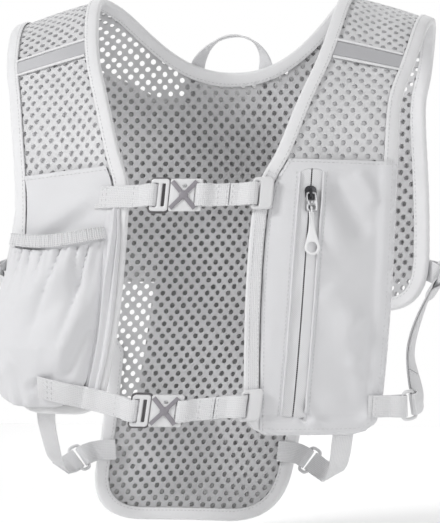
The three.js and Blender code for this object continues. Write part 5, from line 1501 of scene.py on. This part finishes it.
def sideStraps(row):
    name, side, p = row["name"], row["side"], strapPlaces
    outer = panels[name]["edges"][1]

    def onWing(x, drop, up):
        return onVest(side * x, backAt(drop), up)

    def onChest(x, drop, up):
        return onVest(side * x, frontAt(drop), up)

    def placeOn(line, way, start, end):
        normals = [bodyFrame(side * x, path)[2] for x, path in (start, end)]
        return linePlace(line, [normals[0], np.array(way), normals[1]])

    # from the wing to the chest
    wingX, wingDrop = wingPoint["x"], wingPoint["drop"]
    chestX, chestDrop = float(outer(frontDown(row["down"]))), row["down"] * form["frontLength"]
    wingEdge, chestEnd = onWing(wingX, wingDrop, overTape), onChest(chestX, chestDrop, 0)
    height, bow, seat = row["height"], row["bow"], overTape + row["seat"]
    line = curveThrough([
        onWing(wingX - 15, wingDrop, seat), onWing(wingX - 3, wingDrop + 2, seat + 1),
        wingEdge + (side * (bow * 0.5 + 4), -4, -7),
        wingEdge * 0.75 + chestEnd * 0.25 + (side * bow, 0, 2),
        wingEdge * 0.35 + chestEnd * 0.65 + (side * (bow + 2), 0, 3),
        onChest(chestX + row["reach"] + 5, chestDrop - 5, height - 9),
        onChest(chestX + row["reach"], chestDrop - 1, height - 1),
        onChest(chestX + 2, chestDrop, height + row["chestRise"]),
        onChest(chestX - row["stitched"], chestDrop, height),
    ])
    place = placeOn(line, [side, 0, 0], (wingX, backAt(wingDrop)), (chestX, frontAt(chestDrop)))
    long = lengths(line)[-1]
    ringAt = long - row["stitched"] - row["reach"] - 1
    layStrap(name + "WingTab", foldedRound(0, lockPlace - halfLock, p["tabEnd"], **sideFold), place,
             name + "_wing_tab")
    slotX = fitting["lock"] / 2 - fitting["bar"] - slotGap / 2
    lockLoops = [roundedBox(fitting["lock"], fittingHeight, 2.6, 5), slotAt(-slotX), slotAt(slotX)]
    lock = plate(lockLoops, fitting["thick"], 1.0, 4, (lockPlace, 0, sideFold["height"]))
    mould(name + "LadderLock", [lock], place, "palePlastic", name + "_side_lock")
    lockBar, ringBar = lockPlace + halfLock, ringAt - halfRing
    seam = lockBar + 0.75 * (ringBar - lockBar)
    layStrap(name + "SideStrap", loopBetween(lockBar, ringBar, seam, **sideFold), place, name + "_side_strap")
    ringPiece(name + "SideRing", ringAt, place, name + "_side_ring")
    layStrap(name + "SideTab", foldedRound(long, ringAt + halfRing, long - p["ringTabEnd"], **ringFold), place,
             name + "_side_tab")
    rows = barRows([p["tabEnd"] + 2, long - 5, seam - 2, seam + 2], p["seamHalf"], stitchLevel)
    stitch(name + "SideStitches", rows, "webbing", place, 9)

    # from the hem to the waist
    hemX, hemDrop = float(outer(frontDown(0.945))) - 20, panels[name]["hem"] * form["frontLength"]
    waistX, waistDrop = backShape["hemHalf"], 0.865 * form["backLength"]
    hemPoint, waistPoint = onChest(hemX, hemDrop, underTape), onWing(waistX + 6, waistDrop, underTape)

    def hang(t, out, down):
        return hemPoint * (1 - t) + waistPoint * t + (side * out, 0, -down)

    line = curveThrough([
        onChest(hemX, hemDrop - 14, underTape), onChest(hemX, hemDrop + 3, underTape - 0.6),
        hang(0.15, 2, 21), hang(0.5, 10, 26), hang(0.8, 14, 17),
        onWing(waistX + 7, waistDrop + 1, underTape - 1.5), onWing(waistX - 10, waistDrop, underTape),
    ])
    place = placeOn(line, [side * 0.3, 0, -1], (hemX, frontAt(hemDrop)), (waistX, backAt(waistDrop)))
    long = lengths(line)[-1]
    ringAt = long - p["ring"]
    hemBar = ringAt - halfRing
    layStrap(name + "HemStrap", foldedRound(0, hemBar, hemBar - p["hemFold"], **ringFold), place,
             name + "_hem_strap")
    ringPiece(name + "HemRing", ringAt, place, name + "_hem_ring")
    layStrap(name + "WaistTab", foldedRound(long, ringAt + halfRing, long - p["ringTabEnd"], **ringFold), place,
             name + "_waist_tab")
    rows = barRows([hemBar - p["hemFold"] + 2, long - 5, long - 12], p["seamHalf"], stitchLevel)
    stitch(name + "HemStitches", rows, "webbing", place, 10)


for row in sides:
    sideStraps(row)
print("side straps ready")

# Rail of narrow webbing beside the zipped pocket
rail = {"width": 8.2, "inset": 4.6, "top": 0.425, "bottom": 0.93}
railPath = np.linspace(frontDown(rail["top"]), frontDown(rail["bottom"]), 90)
railLine = np.stack([leftInner(railPath) + rail["inset"], railPath], 1)
layBand("strapRail", railLine, roundBand(rail["width"], 0, webbing["thick"], 0.5), "ribbedWebbing", "strap_rail",
        slot="webbing", lift=lambda x, path: overTape + 0.12 * np.sin(path / 9))
railSeams = [raised(beside(railLine, by), overTape + webbing["thick"]) for by in (-3.1, 3.1)]
stitch("railStitches", railSeams, "webbing", seed=11)

# Zip: two tapes with the coil behind them, so that only a line shows, then the slider, tab and grip
zipper = {
    "gap": 0.5, "tapeHalf": 9.4, "tapeTop": -0.1, "tapeThick": 0.9, "toothPitch": 1.5, "toothWide": 3.0,
    "toothHigh": 0.9, "toothLong": 0.85,
}
tapeLine = evenly(np.vstack([zipPath[0] + (zipPath[0] - zipPath[1]) * 1.4, zipPath[:-1]]), 1.2)
across = np.linspace(zipper["gap"], zipper["tapeHalf"], 9)
crown = zipper["tapeTop"] + 0.55 * np.cos(np.linspace(0, 1, 9) * math.pi / 2) ** 0.7
for label, side in (("Inner", -1), ("Outer", 1)):
    section = np.vstack([np.column_stack([-side * across, crown]),
                         np.column_stack([-side * across, crown - zipper["tapeThick"]])[::-1]])
    layBand("zip" + label + "Tape", tapeLine, section, "ribbedTape", "zip_tape_" + label.lower(), slot="binding_tape",
            lift=zipPocketLift)


def toothTree():
    g = Graph(newTree("zipTeeth", ["Length", "Pitch", "Width", "Height", "Thickness"], ["Seed"]))
    source = g.add("NodeGroupInput").outputs
    count = g.math("FLOOR", g.math("DIVIDE", source["Length"], source["Pitch"]))
    step = g.take("ShaderNodeCombineXYZ", {1: source["Pitch"]})
    line = g.take("GeometryNodeMeshLine", {"Count": count, "Offset": step}, mode="OFFSET")
    odd = g.math("MODULO", g.take("GeometryNodeInputIndex"), 2.0)
    swing = g.math("MULTIPLY", g.math("SUBTRACT", odd, 0.5), 0.9)
    jitter = g.add("FunctionNodeRandomValue", {2: -0.05, 3: 0.05, "Seed": source["Seed"]}, data_type="FLOAT").outputs[1]
    shift = g.take("ShaderNodeCombineXYZ", {0: g.math("ADD", swing, jitter)})
    row = g.take("GeometryNodeSetPosition", {"Geometry": line, "Offset": shift})
    size = g.take("ShaderNodeCombineXYZ", {0: source["Width"], 1: source["Thickness"], 2: source["Height"]})
    tooth = g.take("GeometryNodeMeshCube", {"Size": size})
    return painted(g, scatter(g, Points=row, Instance=tooth), source["Material"])


def alongZip(points):
    # carries (sideways, run, up) onto the line of the zip
    run = lengths(tapeLine)
    way = unit(np.gradient(tapeLine, axis=0))
    x, path, wx, wy = (np.interp(points[:, 1], run, v[:, k]) for v in (tapeLine, way) for k in (0, 1))
    x, path = x - wy * points[:, 0], path + wx * points[:, 0]
    return onVest(x, path, points[:, 2] + zipPocketLift(x, path))


teeth = takeFlat(lineObject([[(0, 0, 0), (0, 1, 0)]]), toothTree(), "zipTeeth", {
    "Length": float(lengths(tapeLine)[-1]), "Pitch": zipper["toothPitch"], "Width": zipper["toothWide"],
    "Height": zipper["toothHigh"], "Thickness": zipper["toothLong"], "Seed": 12, "Material": finish["zipNylon"],
}, lambda points: alongZip(points + (0, 0.8, zipper["tapeTop"] - 1.0)))
fit(teeth, "zip_coil", slot="coil")

slider = {"down": 15, "length": 11, "width": 8.6, "plate": 1.6, "bridge": 2.5, "coilTop": 0.75, "gap": 0.3}
coarse = spaced(zipPoints, 11)
sliderX, sliderPath = coarse[1] + (coarse[2] - coarse[1]) * (slider["down"] - 11) / 11
zipTurn = math.atan2(coarse[3][1] - coarse[0][1], coarse[3][0] - coarse[0][0]) + math.pi / 2
hingeHeight = slider["coilTop"] + slider["gap"] + slider["plate"] + slider["bridge"] / 2
at, across, normal = bodyFrame(sliderX, sliderPath)
across = unit(across)
across = across * math.cos(zipTurn) + np.cross(normal, across) * math.sin(zipTurn)
hingePoint = at + normal * (float(zipPocketLift(sliderX, sliderPath)) + hingeHeight)


def atHinge(points):
    # x across, y up the chest and z away from it, from the middle of the hinge
    p = np.asarray(points, float)
    return hingePoint + p[..., :1] * across + p[..., 1:2] * np.cross(normal, across) + p[..., 2:] * normal


def bentWire(line, radius, at=(0, 0, 0), sides=10):
    # a part of round wire along a line in space
    line = np.asarray(line, float)
    way = unit(np.gradient(line, axis=0))
    side = unit(np.cross(way, (1, 0, 0.001)))
    up = np.cross(way, side)
    turns = np.linspace(0, 2 * math.pi, sides, endpoint=False)[None, :, None]
    rings = line[:, None] + radius * (np.cos(turns) * side[:, None] + np.sin(turns) * up[:, None])
    return rings.reshape(-1, 3) + at, tubeFaces(len(line), sides)


plateLow = slider["coilTop"] + slider["gap"] - hingeHeight
sliderOutline = roundedBox(slider["width"], slider["length"], 3.4, 6)
sliderOutline[:, 0] *= 1 - 0.16 * clamp(-sliderOutline[:, 1] / (slider["length"] / 2))
rising = np.linspace(0, math.pi, 15)
arch = np.stack([0 * rising, 3.1 * np.cos(rising), -slider["bridge"] / 2 - 0.3 + 3.2 * np.sin(rising) ** 0.7], 1)
mould("zipSlider", [
    plate([sliderOutline], slider["plate"], 0.5, 4, (0, 0, plateLow + slider["plate"] / 2)), bentWire(arch, 1.05),
], atHinge, "darkMetal", "zip_slider", slot="slider_metal")

pull = {
    "tabTop": 0.6, "tabLength": 14, "tabThick": 1.3, "gripLength": 33, "gripWidth": 11.4, "gripThick": 2.1, "hole": 3.9,
}
top, low = pull["tabTop"], pull["tabTop"] - pull["tabLength"]
tabHalf = [(2.7, top), (3.5, top - 0.8), (4.5, low + 1.2), (3.6, low)]
tabLine = [(-3.5, top - 0.8), (-2.7, top), *tabHalf, (-3.6, low), (-4.5, low + 1.2), (-3.5, top - 0.8)]
tabOutline = curveThrough(tabLine, 0.5, 4)[:-1]
mould("zipPullTab", [
    plate([tabOutline, roundedBox(4.8, 4.6, 1) + (0, -2.9), roundedBox(4.4, 2.9, 1.2) + (0, low + 3)],
          pull["tabThick"], 0.4),
    plate([roundedBox(2.6, 2.6, 1.3)], 0.9, 0.3, at=(0, low + 6.6, pull["tabThick"] / 2)),
], atHinge, "greyMetal", "zip_pull_tab", slot="grey_metal", body="zip_pull")

# the grip is a drop with a round eye and a slit above it, on a loop of wire
eyeBar = (0, low + 1.35, 0)
radius, end = pull["gripWidth"] / 2, -pull["gripLength"] + pull["gripWidth"] / 2
gripSide = curveThrough([(1.9, -1.5), (1.7, -6), (2.1, -13), (3.6, -19), (radius * 0.96, end + 1)], 0.5, 6)
bottom = np.radians(np.linspace(170, 370, 19))[1:-1]
drop = np.vstack([
    gripSide * mirror, np.stack([radius * np.cos(bottom), end + radius * np.sin(bottom)], 1), gripSide[::-1],
])
around = np.radians(np.linspace(0, 360, 20, endpoint=False))
eye = np.stack([pull["hole"] * 0.92 * np.cos(around), end + pull["hole"] * np.sin(around)], 1)
slit = [(-0.3, -4), (0.3, -4), (0.55, -11), (0, -14.5), (-0.55, -11)]
loopTurn = rising * 2 + math.pi / 2
loopLine = np.stack([0 * rising, 2.0 * np.cos(loopTurn), 2.0 * np.sin(loopTurn)], 1)
mould("zipPullGrip", [plate([drop, eye, slit], pull["gripThick"], 0.8, 5, eyeBar), bentWire(loopLine, 0.65, eyeBar)],
      atHinge, "paleRubber", "zip_pull_grip", slot="grip", body="zip_pull")
print("zip ready")

# Haul loop: webbing that stands up from the neck edge and turns edge-on at its top
haul = {"half": 28.5, "middle": -4.5, "lean": 5, "rise": 35, "width": 12, "foot": 17, "twist": 86, "untwist": 14}
haulDrop, haulBase = backShape["neckDrop"] + 4, overTape + 0.9
turn = np.linspace(0, math.pi, 61)
rise = np.sin(turn) ** 0.85
neckTop = onVest(0, backAt(haulDrop), haulBase)
sway = -form["hemSway"] * (backShape["neckDrop"] / form["backLength"]) ** 2
arch = np.stack([
    haul["middle"] - haul["half"] * np.cos(turn) + haul["lean"] * rise + sway,
    neckTop[1] - 0.2 * rise * haul["rise"], neckTop[2] + 0.98 * rise * haul["rise"],
], 1)
footPaths = np.array([backAt(haulDrop - 3 + down) for down in np.linspace(2, haul["foot"], 8)])
legs = [onVest(haul["middle"] + side * (haul["half"] + 1), footPaths, haulBase) for side in (-1, 1)]
haulLine = evenly(curveThrough(np.vstack([legs[0][::-1], arch[2:-2:4], legs[1]]), 0.5, 8), 1.5)
way = unit(np.gradient(haulLine, axis=0))
flatWays = unit(np.cross(bodyFrame(0.0, backAt(backShape["neckDrop"]))[2], way))
u = np.linspace(0, 1, len(haulLine))
twist = haul["twist"] * hump((u - 0.17) / 0.66) ** 0.75 - haul["untwist"] * hump((u - 0.4) / 0.2)
angle = np.radians(twist)[:, None]
wideWays = flatWays * np.cos(angle) + np.cross(way, flatWays) * np.sin(angle)
upWays = np.cross(way, wideWays)
section = roundedBox(haul["width"], webbing["thick"] + 0.2, 0.5, 2)
rings = haulLine[:, None] + wideWays[:, None] * section[None, :, :1] + upWays[:, None] * section[None, :, 1:]
run = lengths(haulLine)[:, None]
pattern = np.stack(np.broadcast_arrays(section[:, 0], run, section[:, 1]), -1).reshape(-1, 3)
fit(sweep("haulLoop", rings, "ribbedWebbing", pattern, sharp=70), "haul_loop", slot="webbing")
print("haul loop ready")

# Camera, light and floor
camera = {
    "azimuth": 10, "distance": 1800, "focal": 2340, "height": -200.2, "aside": -3.1,
    "imageHeight": 523, "sensor": 36,
}


def setCamera():
    turn = math.radians(camera["azimuth"])
    back, right = Vector((math.sin(turn), -math.cos(turn), 0)), Vector((math.cos(turn), math.sin(turn), 0))
    data = bpy.data.cameras.new("photoCamera")
    data.sensor_width = camera["sensor"]
    data.lens = camera["focal"] / camera["imageHeight"] * camera["sensor"]
    eye = addObject("photoCamera", data)
    eye.location = (back * camera["distance"] + right * camera["aside"] + Vector((0, 0, camera["height"]))) * mm
    eye.rotation_mode = "QUATERNION"
    eye.rotation_quaternion = (-back).to_track_quat("-Z", "Y")
    scene.camera = eye


room = {"front": 0.33, "behind": 1.0}  # glow of the room before and behind the vest
lights = [
    {"name": "keyLight", "at": (-1.5, -1.2, 1.0), "aim": (0, 0, -0.2), "size": 0.6, "power": 26},
    {"name": "fillLight", "at": (1.3, -1.7, 0.3), "aim": (0, 0, -0.2), "size": 1.4, "power": 11},
    {"name": "backLight", "at": (0.3, 1.8, 0.8), "aim": (0, 0, -0.2), "size": 1.8, "power": 2},
    {"name": "floorLight", "at": (0.1, 1.3, 0.9), "aim": (0.1, 1.1, -0.4), "size": 1.4, "power": 9},
]


def setLights():
    for row in lights:
        data = bpy.data.lights.new(row["name"], "AREA")
        data.shape, data.size, data.energy = "DISK", row["size"], row["power"]
        lamp = addObject(row["name"], data)
        lamp.location = row["at"]
        lamp.rotation_mode = "QUATERNION"
        lamp.rotation_quaternion = (Vector(row["aim"]) - lamp.location).to_track_quat("-Z", "Y")
    world = bpy.data.worlds.new("studioWorld")
    world.use_nodes = True
    g = Graph(world.node_tree)
    way = g.add("ShaderNodeSeparateXYZ", {0: g.add("ShaderNodeTexCoord").outputs["Generated"]}).outputs
    glow = g.take("ShaderNodeMapRange", {0: way[1], 1: -0.1, 2: 0.85, 3: room["front"], 4: room["behind"]},
                  interpolation_type="SMOOTHSTEP")
    background = g.nodes["Background"]
    background.inputs["Color"].default_value = (1, 1, 1, 1)
    g.links.new(glow, background.inputs["Strength"])
    scene.world = world
    scene.view_settings.view_transform = "Standard"


def layFloor():
    # one plane, below the hem
    size, level = 1.3, cadBox[0].z - 0.012
    mesh = bpy.data.meshes.new("studioFloor")
    mesh.from_pydata([(-size, -size, level), (size, -size, level), (size, size, level), (-size, size, level)],
                     [], [(0, 1, 2, 3)])
    mesh.materials.append(newMaterial("palePaper", (0.97, 0.97, 0.97), 0.9))
    addObject("studioFloor", mesh)


setCamera()
setLights()
layFloor()
